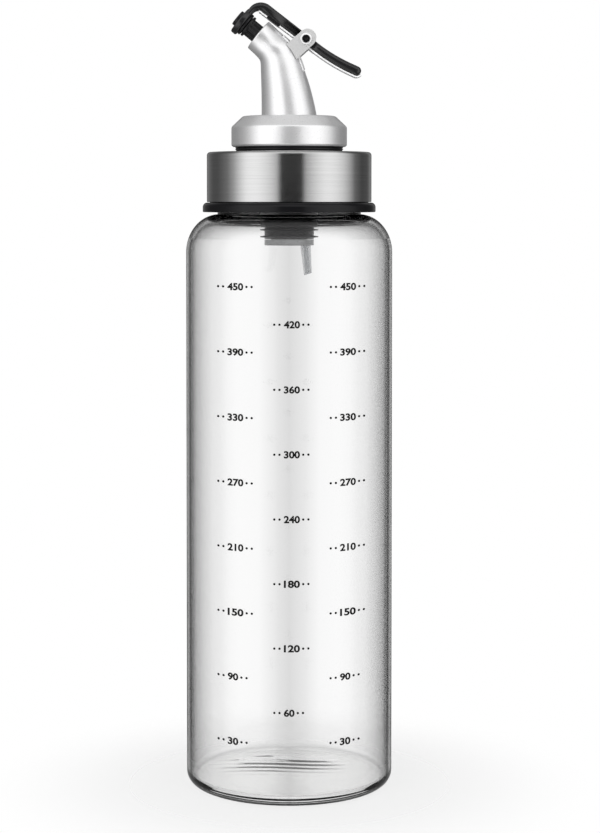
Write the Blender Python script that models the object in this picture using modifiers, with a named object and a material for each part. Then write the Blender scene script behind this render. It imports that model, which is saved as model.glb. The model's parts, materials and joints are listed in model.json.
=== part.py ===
"""Olive oil dispenser bottle: glass jar, screw cap, pull-out pourer and sprung flip lever.

Metres, +Z up, origin at the centre of the glass base. The nozzle points to -X and the lever's tail to +X.
"""

import math

import bmesh
import bpy
from mathutils import Matrix, Vector

OBJECT_NAME = "oil_dispenser"

# Gaps
CLEARANCE = 0.0003
SLIM_GAP = 0.00015
OVERRUN = 0.001
MERGE_DISTANCE = 0.00001

# Glass bottle
BODY_RADIUS = 0.0325
BODY_WALL = 0.0015
BASE_THICKNESS = 0.0026
HEEL_RADIUS = 0.006
INNER_HEEL_RADIUS = 0.0022
SHOULDER_TANGENT_HEIGHT = 0.1684
SHOULDER_WIDTH = 0.0105
SHOULDER_HEIGHT = 0.012
NECK_RADIUS = 0.0226
NECK_WALL = 0.002
NECK_LENGTH = 0.016
RIM_RADIUS = 0.0006

# Screw cap
GASKET_THICKNESS = 0.001
GASKET_MARGIN = 0.0002
THREAD_SPACE = 0.0013
SKIRT_WALL = 0.0014
CAP_TOP_THICKNESS = 0.00125
SLEEVE_WALL = 0.0005
SLEEVE_CORNER = 0.0014
SLEEVE_HEIGHT = 0.0157
SPIGOT_DEPTH = 0.002
SPIGOT_WALL = 0.0011
RING_HEIGHT = 0.003
RING_OVERHANG = 0.0013
RING_CORNER = 0.0015
RING_FOOT_CHAMFER = 0.0003
SOCKET_RADIUS = 0.0095
SOCKET_WALL = 0.0017
SOCKET_LENGTH = 0.016
SLEEVE_HOLE_RADIUS = 0.0132

# Stopper, core and air tube
FLANGE_RADIUS = 0.0169
FLANGE_THICKNESS = 0.0007
FLANGE_GROOVE = 0.0003
STOPPER_RADIUS = 0.00905
STOPPER_LENGTH = 0.0226
STOPPER_NECK_RADIUS = 0.0078
STOPPER_NECK_LENGTH = 0.0046
FIN_RADIUS = 0.0092
FIN_THICKNESS = 0.0008
FIN_ROOT_DROPS = (0.0008, 0.0034)
CORE_RADIUS = 0.0057
CORE_HEAD_HEIGHT = 0.002
OIL_WAY_RADIUS = 0.0019
OIL_WAY_OFFSET = 0.0021
VENT_OFFSET = 0.0052
VENT_HOLE_RADIUS = 0.0016
VENT_TOP_RADIUS = 0.0016
VENT_END_RADIUS = 0.0012
VENT_BORE_RADIUS = 0.0007
VENT_LENGTH = 0.009
VENT_LEAN_DEG = 5.0
VENT_CUT_DEG = 14.0

# Pourer disc
DISC_RADIUS = 0.0182
DISC_TOP_RADIUS = 0.0146
DISC_SIDE_HEIGHT = 0.0057
DISC_CHAMFER_HEIGHT = 0.0034
DISC_FOOT_HEIGHT = 0.0012
DISC_FOOT_INSET = 0.0009
DISC_EDGE = 0.001
DISC_WALL = 0.0018
DISC_BOSS_WALL = 0.002

# Spout
SPOUT_FOOT_RADIUS = 0.00875
SPOUT_HEIGHT = 0.0296
DUCT_RADIUS = 0.0019
HEAD_TILT_DEG = 50.6
HEAD_RIM = 0.0004
# Front and back of each cross-section: X in foot radii from the axis, Z in spout heights.
SPOUT_STATION_SHARES = (
    (-1.000, 0.000, 1.000, 0.000),
    (-1.000, 0.100, 0.934, 0.100),
    (-1.002, 0.200, 0.854, 0.200),
    (-1.008, 0.290, 0.774, 0.290),
    (-1.015, 0.375, 0.686, 0.375),
    (-1.024, 0.450, 0.594, 0.455),
    (-1.031, 0.520, 0.502, 0.540),
    (-1.045, 0.572, 0.394, 0.625),
    (-1.096, 0.605, 0.230, 0.717),
    (-1.220, 0.645, 0.000, 0.803),
    (-1.360, 0.684, -0.380, 0.903),
    (-1.511, 0.724, -0.745, 1.000),
)

# Nozzle
NOZZLE_RADIUS = 0.0029
NOZZLE_LENGTH = 0.0036
NOZZLE_LIP_RADIUS = 0.0036
NOZZLE_LIP_THICKNESS = 0.0007
NOZZLE_SHANK_RADIUS = 0.0025
NOZZLE_SHANK_LENGTH = 0.0035
NOZZLE_BORE_RADIUS = 0.0014
FLUTE_COUNT = 12
FLUTE_DEPTH = 0.0003

# Hinge
PIN_BEHIND_AXIS = 0.0053
PIN_BELOW_HEAD = 0.00162
PIN_RADIUS = 0.0008
PIN_HEAD_RADIUS = 0.00125
PIN_HEAD_HEIGHT = 0.0005
PIN_DIMPLE_RADIUS = 0.0005
PIN_DIMPLE_DEPTH = 0.0002
WASHER_RADIUS = 0.0018
WASHER_THICKNESS = 0.00025
EAR_RADIUS = 0.0028
EAR_OVERHANG = 0.00055
EAR_THICKNESS = 0.0009
EAR_LENGTH = 0.0088
EAR_ANGLE_DEG = 222.0
EAR_EDGE = 0.0003
EAR_BOSS_RADIUS = 0.0023
EAR_BOSS_HEIGHT = 0.00015
SADDLE_THICKNESS = 0.0007
SADDLE_START = 0.004
STRAP_WIDTH = 0.0056
STRAP_RISE = 0.0056
STRAP_DROP = 0.0067
STRAP_THICKNESS = 0.0006
STRAP_PROUD = 0.0002

# Lever
LEVER_HALF_WIDTH = 0.0034
LEVER_THICKNESS = 0.003
LEVER_NECK_THICKNESS = 0.0017
LEVER_EDGE = 0.0005
ARM_ANGLE_DEG = 37.3
ARM_BEND_RADIUS = 0.0033
TAIL_STRAIGHT = 0.005
TAIL_ARC_LENGTH = 0.012
TAIL_TURN_DEG = 12.5
TAIL_END_STRAIGHT = 0.0017
TAIL_ROOT_THICKNESS = 0.0026
TAIL_END_THICKNESS = 0.0029
TAIL_TIP_LENGTH = 0.0015
EYE_RADIUS = 0.0046
EYE_THICKNESS = 0.002
EYE_ABOVE_NECK = 0.0001
BUTTON_FLANGE_RADIUS = 0.0038
BUTTON_FLANGE_THICKNESS = 0.0007
BUTTON_STEM_RADIUS = 0.0019
BUTTON_HEAD_RADIUS = 0.0026
BUTTON_HEAD_THICKNESS = 0.0009
BUTTON_EDGE = 0.00025
STRIP_THICKNESS = 0.0004
STRIP_HALF_WIDTH = 0.0029
LUG_NEAR = 0.0092
LUG_FAR = 0.0138
LUG_WIDTH = 0.0012

# Return spring
SPRING_WIRE_RADIUS = 0.00025
SPRING_MEAN_RADIUS = 0.0019
SPRING_TURNS = 3
SPRING_PITCH = 0.00095
SPRING_TAIL_LEG = 0.0045
SPRING_SPOUT_LEG = 0.0034
SPRING_SPOUT_LEG_LIFT_DEG = 20.0
SPRING_POINTS_PER_TURN = 9
WINDOW_MARGIN = 0.0003

# Facets
GLASS_STEPS = 48
CAP_STEPS = 48
STOPPER_STEPS = 32
SMALL_STEPS = 24
PIN_STEPS = 16
SPOUT_STEPS = 28
BEND_STEPS = 8
TAIL_STEPS = 6
SHARP_DEG = 35.0

# Heights that follow from the sizes above
neck_root = SHOULDER_TANGENT_HEIGHT + SHOULDER_HEIGHT
neck_top = neck_root + NECK_LENGTH
gasket_bottom = neck_top + CLEARANCE
cap_plate_bottom = gasket_bottom + GASKET_THICKNESS + CLEARANCE
cap_plate_top = cap_plate_bottom + CAP_TOP_THICKNESS
sleeve_top = cap_plate_top + SLIM_GAP + SLEEVE_WALL
sleeve_bottom = sleeve_top - SLEEVE_HEIGHT
skirt_inner = NECK_RADIUS + THREAD_SPACE
skirt_outer = skirt_inner + SKIRT_WALL
sleeve_inner = skirt_outer + SLIM_GAP
sleeve_outer = sleeve_inner + SLEEVE_WALL
ring_top = sleeve_bottom - SLIM_GAP
ring_bottom = ring_top - RING_HEIGHT
ring_outer = sleeve_outer + RING_OVERHANG
flange_bottom = sleeve_top + SLIM_GAP
flange_top = flange_bottom + FLANGE_THICKNESS
disc_bottom = flange_top + SLIM_GAP
disc_top = disc_bottom + DISC_FOOT_HEIGHT + DISC_SIDE_HEIGHT + DISC_CHAMFER_HEIGHT
spout_bottom = disc_top + SLIM_GAP
stopper_step = flange_bottom - STOPPER_LENGTH
stopper_bottom = stopper_step - STOPPER_NECK_LENGTH
stopper_bore = CORE_RADIUS + CLEARANCE
core_top = disc_top - DISC_WALL
ear_inner = LEVER_HALF_WIDTH + CLEARANCE
ear_outer = ear_inner + EAR_THICKNESS
head_height = spout_bottom + SPOUT_HEIGHT * (SPOUT_STATION_SHARES[-1][1] + SPOUT_STATION_SHARES[-1][3]) / 2
pin = Vector((PIN_BEHIND_AXIS, 0, head_height - PIN_BELOW_HEAD))
boss_outer = ear_outer + EAR_BOSS_HEIGHT
window_half_width = SPRING_TURNS * SPRING_PITCH / 2 + SPRING_WIRE_RADIUS + WINDOW_MARGIN
window_half_length = SPRING_MEAN_RADIUS + SPRING_WIRE_RADIUS + WINDOW_MARGIN

parts = None
cutters = None


def clear_scene():
    for obj in list(bpy.data.objects):
        bpy.data.objects.remove(obj, do_unlink=True)


def new_collection(name, hidden):
    collection = bpy.data.collections.new(name)
    bpy.context.scene.collection.children.link(collection)
    collection.hide_render = hidden
    return collection


def material(name, color, roughness, metallic, transmission=0.0):
    made = bpy.data.materials.new(name)
    made.use_nodes = True
    shader = made.node_tree.nodes["Principled BSDF"]
    shader.inputs["Base Color"].default_value = (*color, 1)
    shader.inputs["Roughness"].default_value = roughness
    shader.inputs["Metallic"].default_value = metallic
    shader.inputs["Transmission Weight"].default_value = transmission
    made.diffuse_color = (*color, 1)
    return made


def add_object(name, mesh):
    obj = bpy.data.objects.new(name, mesh)
    parts.objects.link(obj)
    return obj


def as_cutter(obj):
    parts.objects.unlink(obj)
    cutters.objects.link(obj)
    obj.hide_render = True
    obj.display_type = "WIRE"
    return obj


def bake(obj):
    """Replaces the object by the mesh that it evaluates to, welded, in world space."""
    bpy.context.view_layer.update()
    evaluated = obj.evaluated_get(bpy.context.evaluated_depsgraph_get())
    mesh = bpy.data.meshes.new_from_object(evaluated)
    mesh.transform(obj.matrix_world)
    shape = bmesh.new()
    shape.from_mesh(mesh)
    bmesh.ops.remove_doubles(shape, verts=shape.verts, dist=MERGE_DISTANCE)
    shape.to_mesh(mesh)
    shape.free()
    name = obj.name
    bpy.data.objects.remove(obj, do_unlink=True)
    return add_object(name, mesh)


def smooth(obj):
    obj.data.shade_smooth()
    obj.data.set_sharp_from_angle(angle=math.radians(SHARP_DEG))
    return obj


def finish(obj, surface):
    obj.data.materials.clear()
    obj.data.materials.append(surface)
    return smooth(obj)


def arc(center_x, center_z, radius_x, radius_z, start_deg, end_deg, count):
    """Points of an ellipse's arc, both ends included."""
    points = []
    for i in range(count + 1):
        angle = math.radians(start_deg + (end_deg - start_deg) * i / count)
        points.append((center_x + radius_x * math.cos(angle), center_z + radius_z * math.sin(angle)))
    return points


def turned(name, profile, steps, closed=True):
    """A Screw round Z of a profile of (radius, height), which runs down its outer side."""
    mesh = bpy.data.meshes.new(name)
    vertices = [(radius, 0, height) for radius, height in profile]
    edges = [(i, i + 1) for i in range(len(vertices) - 1)]
    if closed:
        edges.append((len(vertices) - 1, 0))
    mesh.from_pydata(vertices, edges, [])
    obj = add_object(name, mesh)
    screw = obj.modifiers.new("turn", "SCREW")
    screw.steps = steps
    screw.render_steps = steps
    screw.use_merge_vertices = True
    screw.merge_threshold = MERGE_DISTANCE
    return bake(obj)


def block(name, size, center, turn_y_deg=0.0):
    bpy.ops.mesh.primitive_cube_add(size=1, location=(0, 0, 0))
    obj = bpy.context.active_object
    for owner in list(obj.users_collection):
        owner.objects.unlink(obj)
    parts.objects.link(obj)
    obj.name = name
    turn = Matrix.Rotation(math.radians(turn_y_deg), 4, "Y")
    obj.data.transform(Matrix.Translation(center) @ turn @ Matrix.Diagonal((*size, 1)))
    return obj


def rod(name, radius, length, center, steps=SMALL_STEPS):
    """A cylinder along Y."""
    half = length / 2
    obj = turned(name, [(0, half), (radius, half), (radius, -half), (0, -half)], steps, closed=False)
    obj.data.transform(Matrix.Translation(center) @ Matrix.Rotation(math.radians(90), 4, "X"))
    return obj


def slab(name, outline, half_width):
    """A flat outline of (x, z) points, extruded to both sides of the XZ plane."""
    curve = bpy.data.curves.new(name, "CURVE")
    curve.dimensions = "2D"
    curve.fill_mode = "BOTH"
    curve.extrude = half_width
    spline = curve.splines.new("POLY")
    spline.points.add(len(outline) - 1)
    for point, (x, z) in zip(spline.points, outline):
        point.co = (x, z, 0, 1)
    spline.use_cyclic_u = True
    obj = add_object(name, curve)
    obj.rotation_euler = (math.radians(90), 0, 0)
    return bake(obj)


def tube(name, points, radius, resolution, radii=None):
    curve = bpy.data.curves.new(name, "CURVE")
    curve.dimensions = "3D"
    curve.bevel_depth = radius
    curve.bevel_resolution = resolution
    curve.use_fill_caps = True
    spline = curve.splines.new("POLY")
    spline.points.add(len(points) - 1)
    for i, co in enumerate(points):
        spline.points[i].co = (*co, 1)
        if radii:
            spline.points[i].radius = radii[i] / radius
    return bake(add_object(name, curve))


def loft(name, rings):
    """Skins closed rings of equal point counts, with a cap on each end."""
    shape = bmesh.new()
    rows = [[shape.verts.new(point) for point in ring] for ring in rings]
    count = len(rows[0])
    for low, high in zip(rows, rows[1:]):
        for i in range(count):
            j = (i + 1) % count
            shape.faces.new((low[i], low[j], high[j], high[i]))
    shape.faces.new(list(reversed(rows[0])))
    shape.faces.new(rows[-1])
    bmesh.ops.recalc_face_normals(shape, faces=shape.faces)
    mesh = bpy.data.meshes.new(name)
    shape.to_mesh(mesh)
    shape.free()
    return add_object(name, mesh)


def combine(obj, other, operation):
    """Applies one Boolean, and keeps the other object as a hidden cutter."""
    if other.name not in cutters.objects:
        as_cutter(other)
    change = obj.modifiers.new(operation.lower(), "BOOLEAN")
    change.operation = operation
    change.object = other
    return bake(obj)


def bevel(obj, width, segments=2, angle_deg=40.0):
    change = obj.modifiers.new("edge", "BEVEL")
    change.width = width
    change.segments = segments
    change.limit_method = "ANGLE"
    change.angle_limit = math.radians(angle_deg)
    return bake(obj)


def make_glass_bottle():
    center = BODY_RADIUS - SHOULDER_WIDTH
    heel = BODY_RADIUS - HEEL_RADIUS
    inner = BODY_RADIUS - BODY_WALL
    inner_heel = inner - INNER_HEEL_RADIUS
    inner_neck = NECK_RADIUS - NECK_WALL
    neck_angle = math.degrees(math.acos((NECK_RADIUS - center) / SHOULDER_WIDTH))
    floor = BASE_THICKNESS
    inner_shoulder_height = SHOULDER_HEIGHT - BODY_WALL
    roof = SHOULDER_TANGENT_HEIGHT + inner_shoulder_height
    throat = center - inner_neck
    profile = [(0, floor)]
    profile += arc(inner_heel, floor + INNER_HEEL_RADIUS, INNER_HEEL_RADIUS, INNER_HEEL_RADIUS, -90, 0, 3)
    profile += arc(center, SHOULDER_TANGENT_HEIGHT, SHOULDER_WIDTH - BODY_WALL, inner_shoulder_height, 0, 90, 7)
    profile += arc(center, roof + throat, throat, throat, 270, 180, 3)[1:]
    profile += arc(inner_neck + RIM_RADIUS, neck_top - RIM_RADIUS, RIM_RADIUS, RIM_RADIUS, 180, 90, 2)
    profile += arc(NECK_RADIUS - RIM_RADIUS, neck_top - RIM_RADIUS, RIM_RADIUS, RIM_RADIUS, 90, 0, 2)
    profile += arc(center, SHOULDER_TANGENT_HEIGHT, SHOULDER_WIDTH, SHOULDER_HEIGHT, neck_angle, 0, 9)
    profile += arc(heel, HEEL_RADIUS, HEEL_RADIUS, HEEL_RADIUS, 0, -90, 6)
    profile += [(0, 0)]
    return turned("glass_bottle", profile, GLASS_STEPS, closed=False)


def make_cap_gasket():
    outer = NECK_RADIUS + GASKET_MARGIN
    inner = NECK_RADIUS - NECK_WALL - GASKET_MARGIN
    top = gasket_bottom + GASKET_THICKNESS
    profile = [(inner, top), (outer, top), (outer, gasket_bottom), (inner, gasket_bottom)]
    return turned("cap_gasket", profile, CAP_STEPS)


def make_threaded_cap():
    socket_outer = SOCKET_RADIUS + SOCKET_WALL
    socket_bottom = cap_plate_top - SOCKET_LENGTH
    spigot_outer = skirt_inner + SPIGOT_WALL
    shelf = ring_top + SLIM_GAP
    spigot_bottom = shelf - SPIGOT_DEPTH
    corner = SLEEVE_CORNER - SLEEVE_WALL
    profile = [(SOCKET_RADIUS, cap_plate_top)]
    profile += arc(skirt_outer - corner, cap_plate_top - corner, corner, corner, 90, 0, 3)
    profile += [(skirt_outer, shelf), (spigot_outer, shelf), (spigot_outer, spigot_bottom)]
    profile += [(skirt_inner, spigot_bottom), (skirt_inner, cap_plate_bottom)]
    profile += [(socket_outer, cap_plate_bottom), (socket_outer, socket_bottom)]
    profile += [(SOCKET_RADIUS, socket_bottom)]
    return turned("threaded_cap", profile, CAP_STEPS)


def make_steel_sleeve():
    corner = SLEEVE_CORNER
    inner_corner = corner - SLEEVE_WALL
    roof = sleeve_top - SLEEVE_WALL
    profile = [(SLEEVE_HOLE_RADIUS, sleeve_top)]
    profile += arc(sleeve_outer - corner, sleeve_top - corner, corner, corner, 90, 0, 4)
    profile += [(sleeve_outer, sleeve_bottom), (sleeve_inner, sleeve_bottom)]
    profile += arc(sleeve_inner - inner_corner, roof - inner_corner, inner_corner, inner_corner, 0, 90, 3)
    profile += [(SLEEVE_HOLE_RADIUS, roof)]
    return turned("steel_sleeve", profile, GLASS_STEPS)


def make_grip_ring():
    bore = skirt_inner + SPIGOT_WALL + CLEARANCE
    chamfer = RING_FOOT_CHAMFER
    profile = [(bore, ring_top)]
    profile += arc(ring_outer - RING_CORNER, ring_top - RING_CORNER, RING_CORNER, RING_CORNER, 90, 0, 4)
    profile += [(ring_outer - chamfer / 2, ring_bottom + chamfer), (ring_outer - chamfer, ring_bottom)]
    profile += [(bore, ring_bottom)]
    return turned("grip_ring", profile, GLASS_STEPS)


def make_silicone_stopper():
    half = FLANGE_THICKNESS / 2
    groove = FLANGE_RADIUS - FLANGE_GROOVE
    profile = [(stopper_bore, flange_top), (FLANGE_RADIUS, flange_top), (groove, flange_bottom + half)]
    profile += [(FLANGE_RADIUS, flange_bottom), (STOPPER_RADIUS, flange_bottom)]
    profile += [(STOPPER_RADIUS, stopper_step), (STOPPER_NECK_RADIUS, stopper_step)]
    for drop in FIN_ROOT_DROPS:
        top = stopper_step - drop
        tip = FIN_THICKNESS / 4
        profile += [(STOPPER_NECK_RADIUS, top), (FIN_RADIUS, top - tip)]
        profile += [(FIN_RADIUS, top - FIN_THICKNESS + tip), (STOPPER_NECK_RADIUS, top - FIN_THICKNESS)]
    profile += [(STOPPER_NECK_RADIUS, stopper_bottom), (stopper_bore, stopper_bottom)]
    return turned("silicone_stopper", profile, STOPPER_STEPS)


def make_stopper_core():
    head_top = stopper_bottom - SLIM_GAP
    head_bottom = head_top - CORE_HEAD_HEIGHT
    edge = BUTTON_EDGE
    profile = [(0, core_top), (CORE_RADIUS, core_top), (CORE_RADIUS, head_top)]
    profile += [(STOPPER_NECK_RADIUS, head_top), (STOPPER_NECK_RADIUS, head_bottom + edge)]
    profile += [(STOPPER_NECK_RADIUS - edge, head_bottom), (0, head_bottom)]
    core = turned("stopper_core", profile, STOPPER_STEPS, closed=False)
    bottom = head_bottom - OVERRUN
    for label, x, radius, top in (
        ("oil_way", -OIL_WAY_OFFSET, OIL_WAY_RADIUS, core_top + OVERRUN),
        ("air_way", VENT_OFFSET, VENT_HOLE_RADIUS + CLEARANCE, head_top - CORE_HEAD_HEIGHT / 4),
    ):
        hole_profile = [(0, top), (radius, top), (radius, bottom), (0, bottom)]
        hole = turned(label, hole_profile, SMALL_STEPS, closed=False)
        hole.data.transform(Matrix.Translation((x, 0, 0)))
        core = combine(core, hole, "DIFFERENCE")
    return core


def make_vent_tube():
    root = Vector((VENT_OFFSET, 0, stopper_bottom - SLIM_GAP - CORE_HEAD_HEIGHT / 4 - CLEARANCE))
    lean = math.radians(VENT_LEAN_DEG)
    bend = root - Vector((0, 0, CORE_HEAD_HEIGHT))
    direction = Vector((math.sin(lean), 0, -math.cos(lean)))
    tip = bend + direction * (VENT_LENGTH + OVERRUN)
    points = [root, bend, (bend + tip) / 2, tip]
    radii = [VENT_TOP_RADIUS, VENT_TOP_RADIUS, (VENT_TOP_RADIUS + VENT_END_RADIUS) / 2, VENT_END_RADIUS]
    body = tube("vent_tube", points, VENT_TOP_RADIUS, 3, radii)
    bore_points = [root + Vector((0, 0, OVERRUN)), bend, tip + direction * OVERRUN]
    body = combine(body, tube("vent_bore", bore_points, VENT_BORE_RADIUS, 2), "DIFFERENCE")
    end = bend + direction * VENT_LENGTH
    size = VENT_LENGTH
    cut_turn = VENT_CUT_DEG - VENT_LEAN_DEG
    turn = Matrix.Rotation(math.radians(cut_turn), 3, "Y")
    middle = end + turn @ Vector((0, 0, -size / 2))
    return combine(body, block("vent_cut", (size, size, size), middle, cut_turn), "DIFFERENCE")


def make_pourer_base():
    side_bottom = disc_bottom + DISC_FOOT_HEIGHT
    side_top = side_bottom + DISC_SIDE_HEIGHT
    cavity = DISC_RADIUS - DISC_FOOT_INSET - DISC_WALL
    cavity_top = disc_top - DISC_WALL
    boss = CORE_RADIUS + CLEARANCE + DISC_BOSS_WALL
    oil_way = OIL_WAY_RADIUS + OIL_WAY_OFFSET
    bore = CORE_RADIUS + CLEARANCE
    roof = cavity_top + CLEARANCE
    shoulder = cavity - DISC_CHAMFER_HEIGHT
    profile = [(oil_way, disc_top)]
    profile += arc(DISC_TOP_RADIUS - DISC_EDGE, disc_top - DISC_EDGE, DISC_EDGE, DISC_EDGE, 90, 48, 2)
    profile += arc(DISC_RADIUS - DISC_EDGE, side_top - DISC_EDGE / 2, DISC_EDGE, DISC_EDGE, 48, 0, 2)
    profile += [(DISC_RADIUS, side_bottom), (DISC_RADIUS - DISC_FOOT_INSET, disc_bottom)]
    profile += [(cavity, disc_bottom), (cavity, side_top - DISC_WALL), (shoulder, cavity_top)]
    profile += [(boss, cavity_top), (boss, disc_bottom), (bore, disc_bottom), (bore, roof), (oil_way, roof)]
    return turned("pourer_base", profile, CAP_STEPS)


def spout_point(x_share, z_share):
    return Vector((x_share * SPOUT_FOOT_RADIUS, 0, spout_bottom + z_share * SPOUT_HEIGHT))


def spout_station(row, grow=0.0):
    """One round cross-section: centre, radius and the direction from front to back."""
    front = spout_point(row[0], row[1])
    back = spout_point(row[2], row[3])
    across = (back - front).normalized()
    return (front + back) / 2, (back - front).length / 2 + grow, across


def spout_rings(grow):
    rings = []
    for row in SPOUT_STATION_SHARES:
        center, radius, across = spout_station(row, grow)
        ring = []
        for i in range(SPOUT_STEPS):
            angle = math.tau * i / SPOUT_STEPS
            ring.append(center + across * radius * math.cos(angle) + Vector((0, radius * math.sin(angle), 0)))
        rings.append(ring)
    return rings


def head_frame():
    """The matrix that takes a piece made along +Z to the nozzle's axis on the head's face."""
    center, _, _ = spout_station(SPOUT_STATION_SHARES[-1])
    return Matrix.Translation(center) @ Matrix.Rotation(-math.radians(HEAD_TILT_DEG), 4, "Y")


def make_spout_body():
    body = loft("spout_body", spout_rings(0.0))
    body = bevel(body, HEAD_RIM, 1, 60.0)
    centers = [spout_station(row)[0] for row in SPOUT_STATION_SHARES]
    below = centers[0] - Vector((0, 0, OVERRUN))
    outlet = head_frame() @ Vector((0, 0, -NOZZLE_SHANK_LENGTH))
    inside = [center for center in centers[:-1] if (center - outlet).length > NOZZLE_SHANK_LENGTH / 2]
    past_outlet = outlet + head_frame().to_3x3() @ Vector((0, 0, OVERRUN))
    duct = tube("duct", [below] + inside[::2] + [past_outlet], DUCT_RADIUS, 2)
    body = combine(body, duct, "DIFFERENCE")
    radius = NOZZLE_SHANK_RADIUS + CLEARANCE / 2
    depth = NOZZLE_SHANK_LENGTH + CLEARANCE
    bore_profile = [(0, OVERRUN), (radius, OVERRUN), (radius, -depth), (0, -depth)]
    bore = turned("nozzle_seat", bore_profile, SMALL_STEPS, closed=False)
    bore.data.transform(head_frame())
    body = combine(body, bore, "DIFFERENCE")
    floor = STRAP_PROUD - STRAP_THICKNESS - CLEARANCE
    seat = combine(strap_block("strap_seat", CLEARANCE), loft("seat_floor", spout_rings(floor)), "DIFFERENCE")
    return combine(body, seat, "DIFFERENCE")


def make_nozzle_tip():
    bore = NOZZLE_BORE_RADIUS
    shank = NOZZLE_SHANK_RADIUS
    top = NOZZLE_LENGTH + NOZZLE_LIP_THICKNESS
    flat = NOZZLE_LIP_THICKNESS / 3
    foot = SLIM_GAP
    profile = [(bore, top), (NOZZLE_LIP_RADIUS - flat, top), (NOZZLE_LIP_RADIUS, top - flat)]
    profile += [(NOZZLE_LIP_RADIUS, NOZZLE_LENGTH), (NOZZLE_RADIUS, NOZZLE_LENGTH), (NOZZLE_RADIUS, foot)]
    profile += [(shank, foot), (shank, -NOZZLE_SHANK_LENGTH), (bore, -NOZZLE_SHANK_LENGTH)]
    tip = turned("nozzle_tip", profile, 2 * FLUTE_COUNT)
    for vertex in tip.data.vertices:
        radius = math.hypot(vertex.co.x, vertex.co.y)
        step = round(math.atan2(vertex.co.y, vertex.co.x) * FLUTE_COUNT / math.pi)
        if abs(radius - NOZZLE_RADIUS) < MERGE_DISTANCE and step % 2:
            vertex.co.x *= (radius - FLUTE_DEPTH) / radius
            vertex.co.y *= (radius - FLUTE_DEPTH) / radius
    tip.data.transform(head_frame())
    return tip


def ear_axes():
    """Unit vectors from the pin along the ears to the spout, and square to it down the spout's back."""
    angle = math.radians(EAR_ANGLE_DEG)
    return Vector((math.cos(angle), 0, math.sin(angle))), Vector((-math.sin(angle), 0, math.cos(angle)))


def strap_block(name, grow):
    """The space of the strap that lies on the spout's back between the ears, and its seat when it is grown."""
    along, down = ear_axes()
    size = (EAR_LENGTH, STRAP_WIDTH + 2 * grow, STRAP_RISE + STRAP_DROP + 2 * grow)
    place = pin + along * (EAR_LENGTH - EAR_RADIUS) + down * (STRAP_DROP - STRAP_RISE) / 2
    return block(name, size, place, -EAR_ANGLE_DEG)


def make_hinge_bracket():
    along, down = ear_axes()
    end = pin - along * EAR_OVERHANG
    outline = []
    for x, z in arc(0, 0, EAR_RADIUS, EAR_RADIUS, EAR_ANGLE_DEG + 270, EAR_ANGLE_DEG + 90, 14):
        outline.append((end.x + x, end.z + z))
    for sign in (1, -1):
        corner = pin + along * EAR_LENGTH + down * EAR_RADIUS * sign
        outline.append((corner.x, corner.z))
    bracket = bevel(slab("hinge_bracket", outline, ear_outer), EAR_EDGE, 2)
    bracket = combine(bracket, rod("ear_boss", EAR_BOSS_RADIUS, 2 * boss_outer, pin), "UNION")
    reach = EAR_RADIUS + EAR_LENGTH
    slot = block("lever_slot", (4 * reach, 2 * ear_inner, 4 * reach), pin)
    bracket = combine(bracket, slot, "DIFFERENCE")
    web_middle = pin + along * (SADDLE_START + EAR_LENGTH / 2)
    web_size = (EAR_LENGTH, 2 * ear_outer, 2 * EAR_RADIUS - 2 * EAR_EDGE)
    web = block("saddle_web", web_size, web_middle, -EAR_ANGLE_DEG)
    web = combine(web, loft("saddle_skin", spout_rings(CLEARANCE + SADDLE_THICKNESS)), "INTERSECT")
    bracket = combine(bracket, web, "UNION")
    bracket = combine(bracket, loft("spout_space", spout_rings(CLEARANCE)), "DIFFERENCE")
    strap = combine(strap_block("strap", 0.0), loft("strap_skin", spout_rings(STRAP_PROUD)), "INTERSECT")
    root_size = (EAR_LENGTH, STRAP_WIDTH - 2 * EAR_EDGE, EAR_RADIUS)
    root = block("strap_root", root_size, web_middle, -EAR_ANGLE_DEG)
    root_skin = loft("root_skin", spout_rings(CLEARANCE + SADDLE_THICKNESS / 2))
    strap = combine(strap, combine(root, root_skin, "INTERSECT"), "UNION")
    below = loft("strap_floor", spout_rings(STRAP_PROUD - STRAP_THICKNESS))
    strap = combine(strap, below, "DIFFERENCE")
    bracket = combine(bracket, strap, "UNION")
    hole = rod("pin_hole", PIN_RADIUS + SLIM_GAP, 4 * ear_outer, pin)
    return combine(bracket, hole, "DIFFERENCE")


def make_pivot_pin():
    reach = boss_outer + WASHER_THICKNESS + 2 * SLIM_GAP
    top = reach + PIN_HEAD_HEIGHT
    crown = PIN_HEAD_HEIGHT / 2
    dimple = PIN_DIMPLE_RADIUS
    profile = [(0, top - PIN_DIMPLE_DEPTH), (dimple, top - PIN_DIMPLE_DEPTH), (dimple, top)]
    profile += [(PIN_HEAD_RADIUS - crown, top), (PIN_HEAD_RADIUS, top - crown), (PIN_HEAD_RADIUS, reach)]
    profile += [(PIN_RADIUS, reach), (PIN_RADIUS, -reach)]
    profile += [(radius, -height) for radius, height in reversed(profile[:6])]
    obj = turned("pivot_pin", profile, PIN_STEPS, closed=False)
    obj.data.transform(Matrix.Translation(pin) @ Matrix.Rotation(math.radians(90), 4, "X"))
    return obj


def make_pin_washer(name, sign):
    inner = PIN_RADIUS + SLIM_GAP
    top = WASHER_THICKNESS / 2
    profile = [(inner, top), (WASHER_RADIUS, top), (WASHER_RADIUS, -top), (inner, -top)]
    obj = turned(name, profile, PIN_STEPS)
    place = pin + Vector((0, sign * (boss_outer + SLIM_GAP + top), 0))
    obj.data.transform(Matrix.Translation(place) @ Matrix.Rotation(math.radians(90), 4, "X"))
    return obj


def arm_axes():
    """Unit vectors along the lever towards its tail, and square to it upwards."""
    angle = math.radians(ARM_ANGLE_DEG)
    return Vector((math.cos(angle), 0, -math.sin(angle))), Vector((math.sin(angle), 0, math.cos(angle)))


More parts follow.
